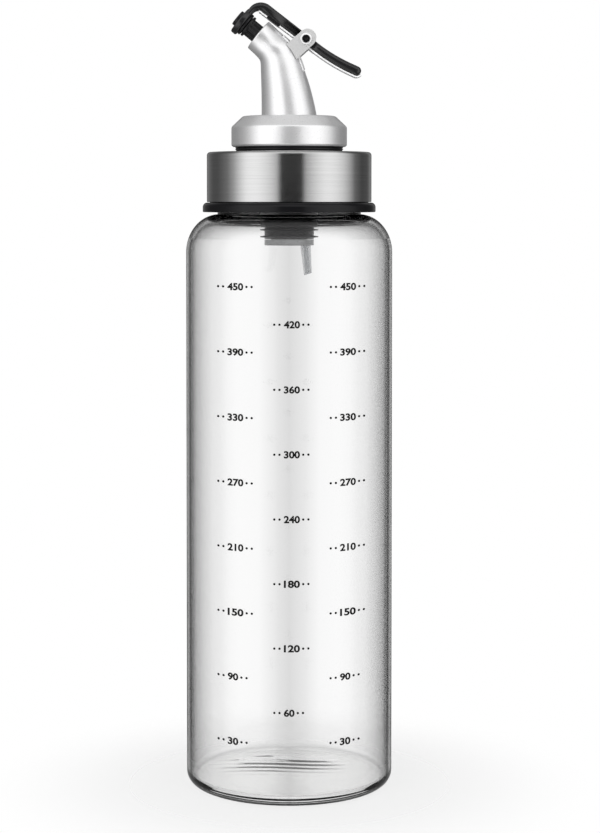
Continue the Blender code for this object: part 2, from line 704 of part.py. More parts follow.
def eye_level():
    """Height of the eye's mid-plane over the head's face, along the nozzle."""
    button = NOZZLE_LENGTH + NOZZLE_LIP_THICKNESS + CLEARANCE + BUTTON_FLANGE_THICKNESS
    return button + SLIM_GAP + EYE_THICKNESS / 2


def lever_path():
    """Points along the lever's middle, from the eye to the tail's tip, each with its direction."""
    along, _ = arm_axes()
    frame = head_frame()
    eye = frame @ Vector((0, 0, eye_level() - EYE_ABOVE_NECK))
    neck = (frame.to_3x3() @ Vector((1, 0, 0))).normalized()
    # Corner where the neck's line meets the arm's line through the pin.
    gap = pin - eye
    cross = neck.x * along.z - neck.z * along.x
    corner = eye + neck * ((gap.x * along.z - gap.z * along.x) / cross)
    turn = math.acos(max(-1.0, min(1.0, neck.dot(along))))
    tangent = ARM_BEND_RADIUS * math.tan(turn / 2)
    start = corner - neck * tangent
    path = [(eye + neck * EYE_RADIUS / 2, neck)]
    heading = math.atan2(neck.z, neck.x)
    middle = start + Vector((math.sin(heading), 0, -math.cos(heading))) * ARM_BEND_RADIUS
    for i in range(BEND_STEPS + 1):
        angle = heading - turn * i / BEND_STEPS
        away = Vector((-math.sin(angle), 0, math.cos(angle)))
        path.append((middle + away * ARM_BEND_RADIUS, Vector((math.cos(angle), 0, math.sin(angle)))))
    path.append((pin + along * TAIL_STRAIGHT, along))
    point = pin + along * TAIL_STRAIGHT
    heading = math.atan2(along.z, along.x)
    for _ in range(TAIL_STEPS):
        heading += math.radians(TAIL_TURN_DEG) / TAIL_STEPS
        direction = Vector((math.cos(heading), 0, math.sin(heading)))
        point = point + direction * TAIL_ARC_LENGTH / TAIL_STEPS
        path.append((point, direction))
    path.append((point + direction * TAIL_END_STRAIGHT, direction))
    return path


def ribbon(path, above, below):
    """The closed outline of a strip that lies between two offsets of a path, with a thickness per point."""
    top = []
    bottom = []
    for i, (point, direction) in enumerate(path):
        normal = Vector((-direction.z, 0, direction.x))
        top.append(point + normal * above[i])
        bottom.append(point - normal * below[i])
    return [(point.x, point.z) for point in top + bottom[::-1]]


def lever_halves():
    """Half of the lever's thickness at each point of its path."""
    halves = [LEVER_NECK_THICKNESS / 2]
    for i in range(BEND_STEPS + 1):
        halves.append((LEVER_NECK_THICKNESS + (LEVER_THICKNESS - LEVER_NECK_THICKNESS) * i / BEND_STEPS) / 2)
    for i in range(TAIL_STEPS + 2):
        growth = (TAIL_END_THICKNESS - TAIL_ROOT_THICKNESS) * i / (TAIL_STEPS + 1)
        halves.append((TAIL_ROOT_THICKNESS + growth) / 2)
    return halves


def strip_lug(name, sign, grow):
    """A lug under the arm's edge that clasps the strip, and the strip's notch for it when it is grown."""
    along, up = arm_axes()
    depth = LEVER_THICKNESS / 2 + SLIM_GAP + STRIP_THICKNESS
    size = (LUG_FAR - LUG_NEAR + 2 * grow, LUG_WIDTH + 2 * grow, depth + 2 * grow)
    middle = pin - along * (LUG_FAR + LUG_NEAR) / 2 - up * depth / 2
    middle += Vector((0, sign * (LEVER_HALF_WIDTH - LEVER_EDGE - LUG_WIDTH / 2), 0))
    return block(name, size, middle, ARM_ANGLE_DEG)


def spring_window(name, before, after):
    """A cutter round the spring, from before the pin to after it along the lever."""
    along, _ = arm_axes()
    size = (before + after, 2 * window_half_width, 4 * LEVER_THICKNESS)
    return block(name, size, pin + along * (after - before) / 2, ARM_ANGLE_DEG)


def make_lever():
    path = lever_path()
    halves = lever_halves()
    outline = ribbon(path, halves, halves)
    tip, direction = path[-1]
    across = Vector((-direction.z, 0, direction.x))
    round_end = []
    for forth, aside in arc(0, 0, TAIL_TIP_LENGTH, halves[-1], 90, -90, 8)[1:-1]:
        point = tip + direction * forth + across * aside
        round_end.append((point.x, point.z))
    count = len(path)
    outline = outline[:count] + round_end + outline[count:]
    lever = bevel(slab("lever", outline, LEVER_HALF_WIDTH), LEVER_EDGE, 2, 50.0)
    low = -EYE_THICKNESS / 2
    edge = BUTTON_EDGE
    hole = BUTTON_STEM_RADIUS + SLIM_GAP
    profile = [(hole, -low), (EYE_RADIUS - edge, -low), (EYE_RADIUS, -low - edge)]
    profile += [(EYE_RADIUS, low + edge), (EYE_RADIUS - edge, low), (hole, low)]
    eye = turned("lever_eye", profile, SMALL_STEPS)
    eye.data.transform(head_frame() @ Matrix.Translation((0, 0, eye_level())))
    lever = combine(lever, eye, "UNION")
    for sign in (-1, 1):
        lever = combine(lever, strip_lug(f"lug_{sign}", sign, 0.0), "UNION")
    window = spring_window("lever_window", window_half_length, window_half_length)
    lever = combine(lever, window, "DIFFERENCE")
    return combine(lever, rod("lever_hole", PIN_RADIUS + SLIM_GAP, 4 * ear_outer, pin), "DIFFERENCE")


def make_lever_strip():
    # The strip starts halfway round the bend, past the eye's point of the path.
    first = 1 + BEND_STEPS // 2
    path = lever_path()[first:]
    near = [half + SLIM_GAP for half in lever_halves()[first:]]
    gap = [-value for value in near]
    far = [value + STRIP_THICKNESS for value in near]
    strip = slab("lever_strip", ribbon(path, gap, far), STRIP_HALF_WIDTH)
    for sign in (-1, 1):
        strip = combine(strip, strip_lug(f"notch_{sign}", sign, SLIM_GAP), "DIFFERENCE")
    window = spring_window("strip_window", window_half_length + SPRING_SPOUT_LEG, SPRING_TAIL_LEG + WINDOW_MARGIN)
    return combine(strip, window, "DIFFERENCE")


def make_seal_button():
    start = NOZZLE_LENGTH + NOZZLE_LIP_THICKNESS + CLEARANCE
    shelf = start + BUTTON_FLANGE_THICKNESS
    head = shelf + EYE_THICKNESS + 2 * SLIM_GAP
    top = head + BUTTON_HEAD_THICKNESS
    edge = BUTTON_EDGE
    profile = [(0, top), (BUTTON_HEAD_RADIUS - edge, top), (BUTTON_HEAD_RADIUS, top - edge)]
    profile += [(BUTTON_HEAD_RADIUS, head), (BUTTON_STEM_RADIUS, head), (BUTTON_STEM_RADIUS, shelf)]
    profile += [(BUTTON_FLANGE_RADIUS, shelf), (BUTTON_FLANGE_RADIUS - edge, start), (0, start)]
    obj = turned("seal_button", profile, SMALL_STEPS, closed=False)
    obj.data.transform(head_frame())
    return obj


def spring_points():
    along, up = arm_axes()
    width = SPRING_TURNS * SPRING_PITCH
    side = Vector((0, 1, 0))
    lift = math.radians(SPRING_SPOUT_LEG_LIFT_DEG)
    first = -math.pi / 2 + lift
    total = math.tau * SPRING_TURNS - lift
    steps = SPRING_POINTS_PER_TURN * SPRING_TURNS
    coil = []
    for i in range(steps + 1):
        angle = first + total * i / steps
        spoke = along * math.cos(angle) + up * math.sin(angle)
        coil.append(pin + spoke * SPRING_MEAN_RADIUS + side * (width * i / steps - width / 2))
    arrive = -along * math.sin(first) + up * math.cos(first)
    start = coil[0] - arrive * SPRING_SPOUT_LEG
    end = coil[-1] + along * SPRING_TAIL_LEG
    return [start] + coil + [end]


def least_gap(points, skip):
    """Least distance between the wire and itself, past neighbours along it."""
    least = math.inf
    for i, first in enumerate(points):
        for second in points[i + skip:]:
            least = min(least, (first - second).length - 2 * SPRING_WIRE_RADIUS)
    return least


def make_return_spring():
    points = spring_points()
    print(f"return_spring least gap {least_gap(points, SPRING_POINTS_PER_TURN - 2) * 1000:.2f} mm")
    return tube("return_spring", points, SPRING_WIRE_RADIUS, 1)


def main():
    global parts, cutters
    clear_scene()
    parts = new_collection(OBJECT_NAME, False)
    cutters = new_collection(OBJECT_NAME + "_cutters", True)
    glass = material("clear_glass", (0.93, 0.95, 0.95), 0.02, 0.0, 1.0)
    black = material("black_plastic", (0.015, 0.015, 0.016), 0.28, 0.0)
    rubber = material("black_rubber", (0.02, 0.02, 0.021), 0.55, 0.0)
    clear_rubber = material("clear_silicone", (0.75, 0.76, 0.76), 0.4, 0.0, 0.4)
    grey = material("grey_plastic", (0.42, 0.43, 0.44), 0.35, 0.0, 0.3)
    steel = material("brushed_steel", (0.55, 0.55, 0.55), 0.3, 1.0)
    silver = material("satin_silver", (0.8, 0.8, 0.81), 0.3, 1.0)
    ear_grey = material("matte_grey", (0.72, 0.72, 0.72), 0.5, 0.6)
    bright = material("bright_steel", (0.85, 0.85, 0.86), 0.12, 1.0)
    finish(make_glass_bottle(), glass)
    finish(make_cap_gasket(), clear_rubber)
    finish(make_threaded_cap(), black)
    finish(make_steel_sleeve(), steel)
    finish(make_grip_ring(), black)
    finish(make_silicone_stopper(), rubber)
    finish(make_stopper_core(), grey)
    finish(make_vent_tube(), grey)
    finish(make_pourer_base(), silver)
    finish(make_spout_body(), silver)
    finish(make_nozzle_tip(), rubber)
    finish(make_hinge_bracket(), ear_grey)
    finish(make_pivot_pin(), black)
    finish(make_pin_washer("pin_washer_front", -1), bright)
    finish(make_pin_washer("pin_washer_back", 1), bright)
    finish(make_return_spring(), bright)
    finish(make_lever(), black)
    finish(make_lever_strip(), bright)
    finish(make_seal_button(), rubber)


main()
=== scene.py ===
"""Looks of the olive oil dispenser bottle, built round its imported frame. Metres, +Z up, nozzle to -X."""

import json
from functools import partial
from math import acos, atan2, cos, degrees, exp, pi, radians, sin, sqrt, tan, tau

import bmesh
import bpy
from mathutils import Matrix, Vector


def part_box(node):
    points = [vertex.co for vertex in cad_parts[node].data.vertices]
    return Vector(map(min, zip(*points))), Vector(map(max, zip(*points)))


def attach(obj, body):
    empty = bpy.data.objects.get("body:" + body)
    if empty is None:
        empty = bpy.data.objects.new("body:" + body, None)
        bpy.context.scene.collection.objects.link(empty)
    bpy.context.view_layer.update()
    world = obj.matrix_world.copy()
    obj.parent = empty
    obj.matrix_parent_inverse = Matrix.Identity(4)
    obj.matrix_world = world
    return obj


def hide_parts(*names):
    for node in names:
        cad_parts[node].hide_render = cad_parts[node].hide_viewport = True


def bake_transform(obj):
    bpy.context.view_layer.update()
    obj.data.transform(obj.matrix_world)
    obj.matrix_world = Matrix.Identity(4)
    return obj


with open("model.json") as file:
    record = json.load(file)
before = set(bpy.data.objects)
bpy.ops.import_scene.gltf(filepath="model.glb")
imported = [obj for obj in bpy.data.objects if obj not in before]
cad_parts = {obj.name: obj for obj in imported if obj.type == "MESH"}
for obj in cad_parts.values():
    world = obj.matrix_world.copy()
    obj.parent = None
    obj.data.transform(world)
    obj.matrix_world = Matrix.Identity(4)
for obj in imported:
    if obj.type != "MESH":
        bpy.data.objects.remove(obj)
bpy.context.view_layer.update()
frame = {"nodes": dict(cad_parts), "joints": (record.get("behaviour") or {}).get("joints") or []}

# Camera, fitted to the straight glass sides and the base's ellipse
CAMERA_DISTANCE = 0.677
CAMERA_HEIGHT = 0.1859
CAMERA_TILT_DEG = 2.145
FOCAL_PX = 2143.7
FRAME_LONG_PX = 833
SENSOR_MM = 36
SHIFT_X = 0.013
SHIFT_Y = -0.1675
CLIP_START = 0.01

# Meshes
FINE_STEPS = 144
SMALL_STEPS = 72
SHARP_DEG = 32.0
FILLET_STEPS = 6
SMALL_FILLET_STEPS = 3
FINE_EDGE_STEPS = 2
TRIM = 0.0002
HALF_TRIM = TRIM / 2

# Glass
BODY_WALL = 0.0015
BASE_THICKNESS = 0.0026
HEEL_RADIUS = 0.0042
INNER_HEEL_RADIUS = 0.0022
SHOULDER_TANGENT_HEIGHT = 0.1684
SHOULDER_WIDTH = 0.0105
SHOULDER_HEIGHT = 0.012
NECK_RADIUS = 0.0226
NECK_WALL = 0.002
RIM_RADIUS = 0.0006
PUNT_RADIUS = 0.0235
PUNT_HEIGHT = 0.0005
PUNT_ROWS = 24
FLOOR_ROWS = 26
INNER_HEEL_STEPS = 10
INNER_SHOULDER_STEPS = 20
THROAT_STEPS = 8
RIM_STEPS = 5
SHOULDER_STEPS = 24
HEEL_STEPS = 14
FLOOR_WAVE = 0.00014
FLOOR_WAVE_LENGTH = 0.0045
FLOOR_WAVE_CENTER = (-0.004, 0.013)
FLOOR_WAVE_SPREAD = (0.015, 0.009)
FLOOR_WAVE_BEND = 0.0012
FLOOR_BEND_LENGTH = 0.045

# Printed scale. Columns: start of the first dot, first number, its height, height between rows.
SCALE_COLUMNS = (
    (-0.02166, 450, 0.15865, 0.019856),
    (-0.0045, 420, 0.14735, 0.019655),
    (0.0126, 450, 0.15865, 0.019856),
)
SCALE_STEP_ML = 60
INK_GAP = 0.000002
INK_THICKNESS = 0.00002
INK_SPREAD = 0.038
INK_CURVE_STEPS = 4
DIGIT_HEIGHT = 0.00228
DIGIT_WIDTH = 0.00163
DIGIT_START = 0.00288
DOT_RADIUS = 0.00036
DOT_STEP = 0.00157
DOT_AFTER = 0.00098
DOT_SIDES = 20

# Threads of the neck and the cap
THREAD_PITCH = 0.004
THREAD_RISE = 0.0009
THREAD_WIDTH = 0.0017
THREAD_ROW = 0.0004
NECK_THREAD = (0.1835, 0.1945)
CAP_THREAD = (0.1825, 0.1935)

# Screw cap and ring
SLEEVE_WALL = 0.0005
SLEEVE_CORNER = 0.001
SLEEVE_CORNER_STEPS = 10
SLEEVE_HOLE_RADIUS = 0.0132
SKIRT_WALL = 0.0014
CAP_TOP_THICKNESS = 0.00125
SPIGOT_DEPTH = 0.002
SPIGOT_WALL = 0.0011
SOCKET_RADIUS = 0.0095
SOCKET_WALL = 0.0017
SOCKET_LENGTH = 0.016
RING_CORNER = 0.0014
RING_FOOT = 0.0003
RING_BORE_GAP = 0.0003

# Stopper, core and air tube
FLANGE_THICKNESS = 0.0007
FLANGE_GROOVE = 0.0003
LIP_RADIUS = 0.017
LIP_INNER_RADIUS = 0.0164
STOPPER_RADIUS = 0.00905
STOPPER_LENGTH = 0.0226
STOPPER_NECK_RADIUS = 0.0078
FIN_RADIUS = 0.0092
FIN_THICKNESS = 0.0008
FIN_ROOT_DROPS = (0.0008, 0.0034)
CORE_RADIUS = 0.0057
CORE_HEAD_HEIGHT = 0.002
CORE_EDGE_STEPS = 4
CORE_GAP = 0.0003
SLIM_GAP = 0.00015
VENT_OFFSET = 0.0052
VENT_TOP_RADIUS = 0.0016
VENT_END_RADIUS = 0.0012
VENT_BORE_RADIUS = 0.0007
VENT_LENGTH = 0.0084
VENT_LEAN_DEG = 5.0
VENT_CUT_DEG = -14.0
VENT_CUT_ALLOWANCE = 0.001
VENT_ROWS = 12
TUBE_STEPS = 40
BORE_STEPS = 32

# Pourer disc
DISC_TOP_RADIUS = 0.0146
DISC_SIDE_HEIGHT = 0.0057
DISC_FOOT_HEIGHT = 0.0012
DISC_FOOT_INSET = 0.0009
DISC_BEVEL = 0.0005
LIP_GAP = 0.0001
DISC_EDGE = 0.0012
DISC_EDGE_STEPS = 8
DISC_WALL = 0.0018
DISC_BOSS_WALL = 0.002
OIL_WAY = 0.004
OIL_WAY_OFFSET = 0.0021

# Spout. Front and back of each cross-section: X in foot radii from the axis, Z in spout heights.
SPOUT_HEIGHT = 0.0296
HEAD_TILT_DEG = 50.6
HEAD_RIM = 0.0004
SPOUT_STATION_SHARES = (
    (-1.000, 0.000, 1.000, 0.000),
    (-1.000, 0.100, 0.934, 0.100),
    (-1.002, 0.200, 0.854, 0.200),
    (-1.008, 0.290, 0.774, 0.290),
    (-1.015, 0.375, 0.686, 0.375),
    (-1.024, 0.450, 0.594, 0.455),
    (-1.031, 0.520, 0.502, 0.540),
    (-1.045, 0.572, 0.394, 0.625),
    (-1.096, 0.605, 0.230, 0.717),
    (-1.220, 0.645, 0.000, 0.803),
    (-1.360, 0.684, -0.380, 0.903),
    (-1.511, 0.724, -0.745, 1.000),
)
SPOUT_SUBSTEPS = 5
SPOUT_STEPS = 72

# Nozzle
NOZZLE_RADIUS = 0.0029
NOZZLE_LENGTH = 0.0036
NOZZLE_LIP_RADIUS = 0.0036
NOZZLE_LIP_THICKNESS = 0.0007
NOZZLE_SHANK_RADIUS = 0.0025
NOZZLE_SHANK_LENGTH = 0.0035
NOZZLE_BORE_RADIUS = 0.0014
FLUTE_COUNT = 10
FLUTE_DEPTH = 0.00045
FLUTE_END_SHARE = 0.1
FLUTE_ROWS = 12
STEPS_PER_FLUTE = 12
NOZZLE_EDGE_STEPS = 4

# Hinge
EAR_RADIUS = 0.0028
EAR_LENGTH = 0.0088
EAR_ANGLE_DEG = 222.0
STRAP_WIDTH = 0.0056
STRAP_RISE = 0.0056
STRAP_DROP = 0.0067
STRAP_THICKNESS = 0.0006
STRAP_PROUD = 0.0002
STRAP_GAP = 0.0003
BRACKET_EDGE = 0.00027
BRACKET_WELD = 0.00001
PIN_RADIUS = 0.0008
PIN_HEAD_RADIUS = 0.00125
PIN_HEAD_HEIGHT = 0.0005
PIN_DIMPLE_RADIUS = 0.0005
PIN_DIMPLE_DEPTH = 0.0002
PIN_STEPS = 48

# Lever
LEVER_HALF_WIDTH = 0.0034
LEVER_THICKNESS = 0.003
LEVER_NECK_THICKNESS = 0.0017
LEVER_CORNER = 0.0012
LEVER_CORNER_STEPS = 5
ARM_ANGLE_DEG = 37.3
ARM_BEND_RADIUS = 0.0033
TAIL_STRAIGHT = 0.005
TAIL_ARC_LENGTH = 0.012
TAIL_TURN_DEG = 12.5
TAIL_END_STRAIGHT = 0.0017
TAIL_ROOT_THICKNESS = 0.0026
TAIL_END_THICKNESS = 0.0029
TAIL_TIP_LENGTH = 0.0015
BEND_STEPS = 20
TAIL_STEPS = 14
TIP_STEPS = 8
EYE_RADIUS = 0.0046
EYE_THICKNESS = 0.002
EYE_ABOVE_NECK = 0.0001
EYE_EDGE = 0.0005
BUTTON_FLANGE_RADIUS = 0.0038
BUTTON_FLANGE_THICKNESS = 0.0007
BUTTON_STEM_RADIUS = 0.0019
BUTTON_HEAD_RADIUS = 0.0026
BUTTON_HEAD_THICKNESS = 0.0009
BUTTON_EDGE = 0.00025
BUTTON_EDGE_STEPS = 5
BUTTON_GAP = 0.0003
STRIP_THICKNESS = 0.0005
STRIP_HALF_WIDTH = 0.0029
STRIP_EDGE = 0.00012
STRIP_CURL_DEG = 75.0
STRIP_CURL_STEPS = 7
LUG_NEAR = 0.0092
LUG_FAR = 0.0138
LUG_WIDTH = 0.0012
LEVER_EDGE = 0.0005

# Return spring
SPRING_WIRE_RADIUS = 0.00025
SPRING_MEAN_RADIUS = 0.0019
SPRING_TURNS = 3
SPRING_PITCH = 0.00095
SPRING_TAIL_LEG = 0.0045
SPRING_SPOUT_LEG = 0.0034
SPRING_SPOUT_LEG_LIFT_DEG = 20.0
SPRING_POINTS_PER_TURN = 36
SPRING_WIRE_STEPS = 4
WINDOW_MARGIN = 0.0003
WINDOW_REACH = SPRING_MEAN_RADIUS + SPRING_WIRE_RADIUS + WINDOW_MARGIN

# Grained surfaces: grains per metre, strength and height of the bump, least and most roughness, darkest and
# lightest colour, and the values that are the same all over.
GRAIN_DETAIL = 4.0
GRAIN_ENDS = (0.3, 0.7)
SURFACES = {
    "clear_silicone": (900, (0.2, 0.00005), None, (0.74, 0.75, 0.75), (0.82, 0.83, 0.83),
                       {"Transmission Weight": 0.5, "IOR": 1.41, "Roughness": 0.4}),
    "black_plastic": (5000, (0.03, 0.000003), (0.09, 0.15), (0.006, 0.006, 0.007), (0.01, 0.01, 0.011),
                      {"Specular IOR Level": 0.24}),
    "black_ink": (6000, (0.1, 0.000005), (0.42, 0.58), (0.004, 0.004, 0.004), (0.012, 0.012, 0.012),
                  {"Specular IOR Level": 0.1}),
    "black_rubber": (6000, (0.06, 0.000004), (0.3, 0.38), (0.008, 0.008, 0.009), (0.012, 0.012, 0.013),
                     {"Specular IOR Level": 0.35}),
    "grey_plastic": (4000, (0.06, 0.000006), (0.26, 0.34), (0.27, 0.275, 0.28), (0.33, 0.335, 0.34),
                     {"Transmission Weight": 0.35, "IOR": 1.46}),
    "vent_plastic": (3000, (0.03, 0.000004), (0.11, 0.18), (0.58, 0.59, 0.6), (0.66, 0.67, 0.68),
                     {"Transmission Weight": 0.85, "IOR": 1.46}),
    "satin_silver": (5000, (0.006, 0.000001), (0.272, 0.288), (0.94, 0.94, 0.945), (0.96, 0.96, 0.965),
                     {"Metallic": 0.64}),
    "gloss_black": (3500, (0.03, 0.000003), (0.2, 0.28), (0.01, 0.01, 0.011), (0.016, 0.016, 0.017),
                    {"Coat Weight": 0.3, "Coat Roughness": 0.1}),
    "matte_grey": (6000, (0.1, 0.000005), (0.36, 0.48), (0.57, 0.57, 0.57), (0.63, 0.63, 0.63),
                   {"Metallic": 0.15}),
    "bright_steel": (4000, (0.05, 0.000005), (0.16, 0.26), (0.86, 0.86, 0.865), (0.93, 0.93, 0.935),
                     {"Metallic": 1.0}),
    # Sheet steel that faces the room flat, lit more by its satin haze than by its mirror: a lighter, nearly
    # white copy of bright steel whose colour is a painted highlight
    "steel_painted_highlight": (5000, (0.03, 0.000003), (0.36, 0.44), (0.95, 0.95, 0.955), (0.985, 0.985, 0.99),
                   {"Metallic": 0.1}),
}

# Glass material. The stops are painted shade: they say how clear a wall stays as it turns edge-on, from 0
# faced square to 1 along it, and so darken the glass's edges by its colour in place of the dark surroundings
# seen there.
GLASS_VALUES = {"Transmission Weight": 1.0, "IOR": 1.47}
GLASS_NOISE = 60.0
GLASS_STRETCH = (1, 1, 0.3)
GLASS_BUMP = (0.04, 0.0004)
GLASS_ROUGHNESS = (0.0, 0.006)
GLASS_SHADOW = 0.92
FLOOR_TINT = (0.85, 0.85, 0.845, 1)
INNER_WALL_PAINTED_SHADE_STOPS = (
    (0.0, 1.0), (0.15, 0.99), (0.22, 0.94), (0.29, 0.81), (0.38, 0.73), (0.51, 0.57), (0.59, 0.43),
    (0.69, 0.32), (0.75, 0.17), (0.785, 0.04), (0.82, 0.004),
)
OUTER_WALL_PAINTED_SHADE_STOPS = (
    (0.0, 1.0), (0.35, 0.99), (0.45, 0.88), (0.55, 0.78), (0.63, 0.6), (0.68, 0.3), (0.71, 0.02),
    (0.75, 0.01), (0.78, 0.12), (0.84, 0.3), (0.92, 0.3),
)

# Brushed steel
STEEL_VALUES = {"Metallic": 1.0, "Anisotropic": 0.85, "Anisotropic Rotation": 0.25}
STEEL_LINES = (30, 30, 5200)
STEEL_DETAIL = 5.0
STEEL_LINE_ROUGHNESS = 0.65
STEEL_ENDS = (0.25, 0.75)
STEEL_BUMP = (0.25, 0.00003)
STEEL_ROUGHNESS = (0.16, 0.26)
STEEL_COLORS = ((0.59, 0.59, 0.59), (0.72, 0.72, 0.72))

# Studio: what metal and glass see round the bottle, from the far side past the left, the camera's side at 0.5
# and the right to the far side again
GLOSSY_STOPS = (
    (0.0, 0.05), (0.032, 0.05), (0.052, 0.2), (0.075, 0.14), (0.13, 0.075), (0.17, 0.075), (0.2, 0.11),
    (0.235, 0.17), (0.268, 0.36), (0.298, 0.67), (0.326, 0.94), (0.353, 1.0), (0.378, 0.98), (0.403, 0.87),
    (0.427, 0.73), (0.455, 0.48), (0.466, 0.015), (0.552, 0.015), (0.56, 0.36), (0.592, 0.64), (0.617, 0.81),
    (0.642, 0.93), (0.668, 0.94), (0.696, 0.85), (0.726, 0.68), (0.758, 0.43), (0.79, 0.14), (0.837, 0.06),
    (0.893, 0.075), (0.945, 0.22), (0.968, 0.05), (1.0, 0.05),
)
GLOSSY_LEVEL = 1.25
CLEAR_STOPS = (
    (0.0, 0.72), (0.0012, 0.74), (0.0022, 0.86), (0.0035, 0.95), (0.006, 0.97), (0.03, 0.97), (0.05, 0.8),
    (0.08, 0.7), (0.12, 0.9), (0.88, 0.9), (0.92, 0.7), (0.95, 0.8), (0.97, 0.97), (0.994, 0.97),
    (0.9965, 0.95), (0.9978, 0.86), (0.9988, 0.74), (1.0, 0.72),
)
# A bright band runs across the front of the room above the bottle. The roof and the space below are dim, and
# so is the ceiling that glass sees. Each starts and is complete at these parts of the view's direction.
BAND_START = (0.35, 0.55)
BAND_FRONT = (0.1, -0.3)
BAND_LEVEL = 0.88
ROOF_START = (0.68, 0.85)
ROOF_LEVEL = 0.34
UNDER_START = (-0.45, -0.8)
UNDER_LEVEL = 0.12
CEILING_START = (0.6, 0.8)
CEILING_LEVEL = 0.3
PLAIN_LEVEL = 0.27
# Lamps: name, place, size and power
LAMPS = (
    ("key_left", (-0.5, -1.1, 0.6), (0.7, 0.9), 9),
    ("fill_right", (0.5, -1.0, 0.35), (0.7, 0.9), 6),
    ("top_soft", (0, 0.1, 1.1), (0.8, 0.8), 2),
)
LAMP_TARGET = (0, 0, 0.14)
# The floor under the bottle, which is part clear from the start of its fade and quite clear at its end
STAGE_RADIUS = 0.16
STAGE_STEPS = 96
STAGE_DROP = 0.0003
STAGE_FADE = (0.033, 0.1)
STAGE_CLEAR = 0.68
STAGE_LEVEL = 0.93

ASIDE = Vector((0, 1, 0))
pin = next(Vector(joint["pos_m"]) for joint in frame["joints"] if joint["name"] == "lever_pivot")


def box_of(node):
    low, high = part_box(node)
    return Vector(low), Vector(high)


def add_object(name, data):
    obj = bpy.data.objects.new(name, data)
    bpy.context.scene.collection.objects.link(obj)
    return obj


def put(thing, **values):
    """Sets a thing's attributes by name."""
    for key, value in values.items():
        setattr(thing, key, value)
    return thing


def set_inputs(made, values):
    """Sets a node's inputs by name or number."""
    for key, value in values.items():
        made.inputs[key].default_value = value


def final_mesh(obj):
    """An object's mesh with its modifiers, its text or its curve worked out."""
    bpy.context.view_layer.update()
    return bpy.data.meshes.new_from_object(obj.evaluated_get(bpy.context.evaluated_depsgraph_get()))


def remove(obj):
    bpy.data.objects.remove(obj, do_unlink=True)


def gray(level):
    return level, level, level, 1


def node_tools(tree):
    """Short names for making nodes, joining them and mixing colours in a tree."""
    def node(kind, **values):
        made = tree.nodes.new("ShaderNode" + kind)
        for key, value in values.items():
            if key.startswith("in_"):
                name = key[3:]
                set_inputs(made, {int(name) if name.isdigit() else name: value})
            else:
                setattr(made, key, value)
        return made

    def join(start, end, start_socket=0, end_socket=0):
        tree.links.new(start.outputs[start_socket], end.inputs[end_socket])
        return end

    def mix(factor, first, second):
        """Mixes two sources by a third. A source is a node with its socket, or a colour."""
        made = node("Mix", data_type="RGBA")
        for place, source in ((0, factor), (6, first), (7, second)):
            if len(source) == 2:
                join(source[0], made, source[1], place)
            else:
                set_inputs(made, {place: source})
        return made, 2

    return node, join, mix


def gray_ramp(node, join, source, socket, stops):
    """A colour ramp through (place, gray level) stops."""
    ramp = join(source, node("ValToRGB"), socket)
    elements = ramp.color_ramp.elements
    while len(elements) > 1:
        elements.remove(elements[-1])
    for i, (place, level) in enumerate(stops):
        element = elements[0] if i == 0 else elements.new(place)
        element.position = place
        element.color = gray(level)
    return ramp, 0


def distance_from_axis(node, join, coords):
    flat = join(coords, node("VectorMath", operation="MULTIPLY", in_1=(1, 1, 0)), "Object")
    return join(flat, node("VectorMath", operation="LENGTH"))


# Mesh helpers

def smooth(mesh):
    mesh.shade_smooth()
    mesh.set_sharp_from_angle(angle=radians(SHARP_DEG))


def as_mesh(name, shape):
    mesh = bpy.data.meshes.new(name)
    shape.to_mesh(mesh)
    shape.free()
    return mesh


def as_object(name, shape):
    """Turns a bmesh into a smooth-shaded object, its edges sharp past an angle."""
    bmesh.ops.recalc_face_normals(shape, faces=shape.faces)
    mesh = as_mesh(name, shape)
    smooth(mesh)
    return add_object(name, mesh)


def toward(angle):
    """A unit vector in the XZ plane, turned from +X towards +Z."""
    return Vector((cos(angle), 0, sin(angle)))


def square_to(vector):
    """A vector of the XZ plane turned by 90 degrees, from +X towards +Z."""
    return Vector((-vector.z, 0, vector.x))


def tilted(place, angle):
    """The matrix that turns a piece about Y and moves it to a place."""
    return Matrix.Translation(place) @ Matrix.Rotation(angle, 4, "Y")


def laid_across(place):
    """The matrix that lays a piece made along Z across the bottle, along Y, at a place."""
    return Matrix.Translation(place) @ Matrix.Rotation(radians(90), 4, "X")


def moved(obj, matrix):
    """Moves an object's mesh and leaves the object at the origin."""
    obj.data.transform(matrix)
    return obj


def rounded(corners, steps=FILLET_STEPS):
    """A closed profile through (radius, height, fillet) corners, with its fillets as arcs."""
    profile = []
    for i, (x, z, fillet) in enumerate(corners):
        if not fillet:
            profile.append((x, z))
            continue
        here = Vector((x, z))
        back = (Vector(corners[i - 1][:2]) - here).normalized()
        forth = (Vector(corners[(i + 1) % len(corners)][:2]) - here).normalized()
        half = back.angle(forth) / 2
        middle = here + (back + forth).normalized() * fillet / sin(half)
        start = here + back * fillet / tan(half) - middle
        end = here + forth * fillet / tan(half) - middle
        for k in range(steps + 1):
            point = middle + start.lerp(end, k / steps).normalized() * fillet
            profile.append((point.x, point.y))
    return profile


def hoop(inner, outer, bottom, top, fillets, steps=FILLET_STEPS):
    """A ring's profile, with its fillets from the inner top round by the outer side to the inner bottom."""
    places = ((inner, top), (outer, top), (outer, bottom), (inner, bottom))
    return rounded([(*place, fillet) for place, fillet in zip(places, fillets)], steps)


def arc(center_x, center_z, radius_x, radius_z, start_deg, end_deg, count):
    """Points of an ellipse's arc, both ends included."""
    points = []
    for i in range(count + 1):
        angle = radians(start_deg + (end_deg - start_deg) * i / count)
        points.append((center_x + radius_x * cos(angle), center_z + radius_z * sin(angle)))
    return points


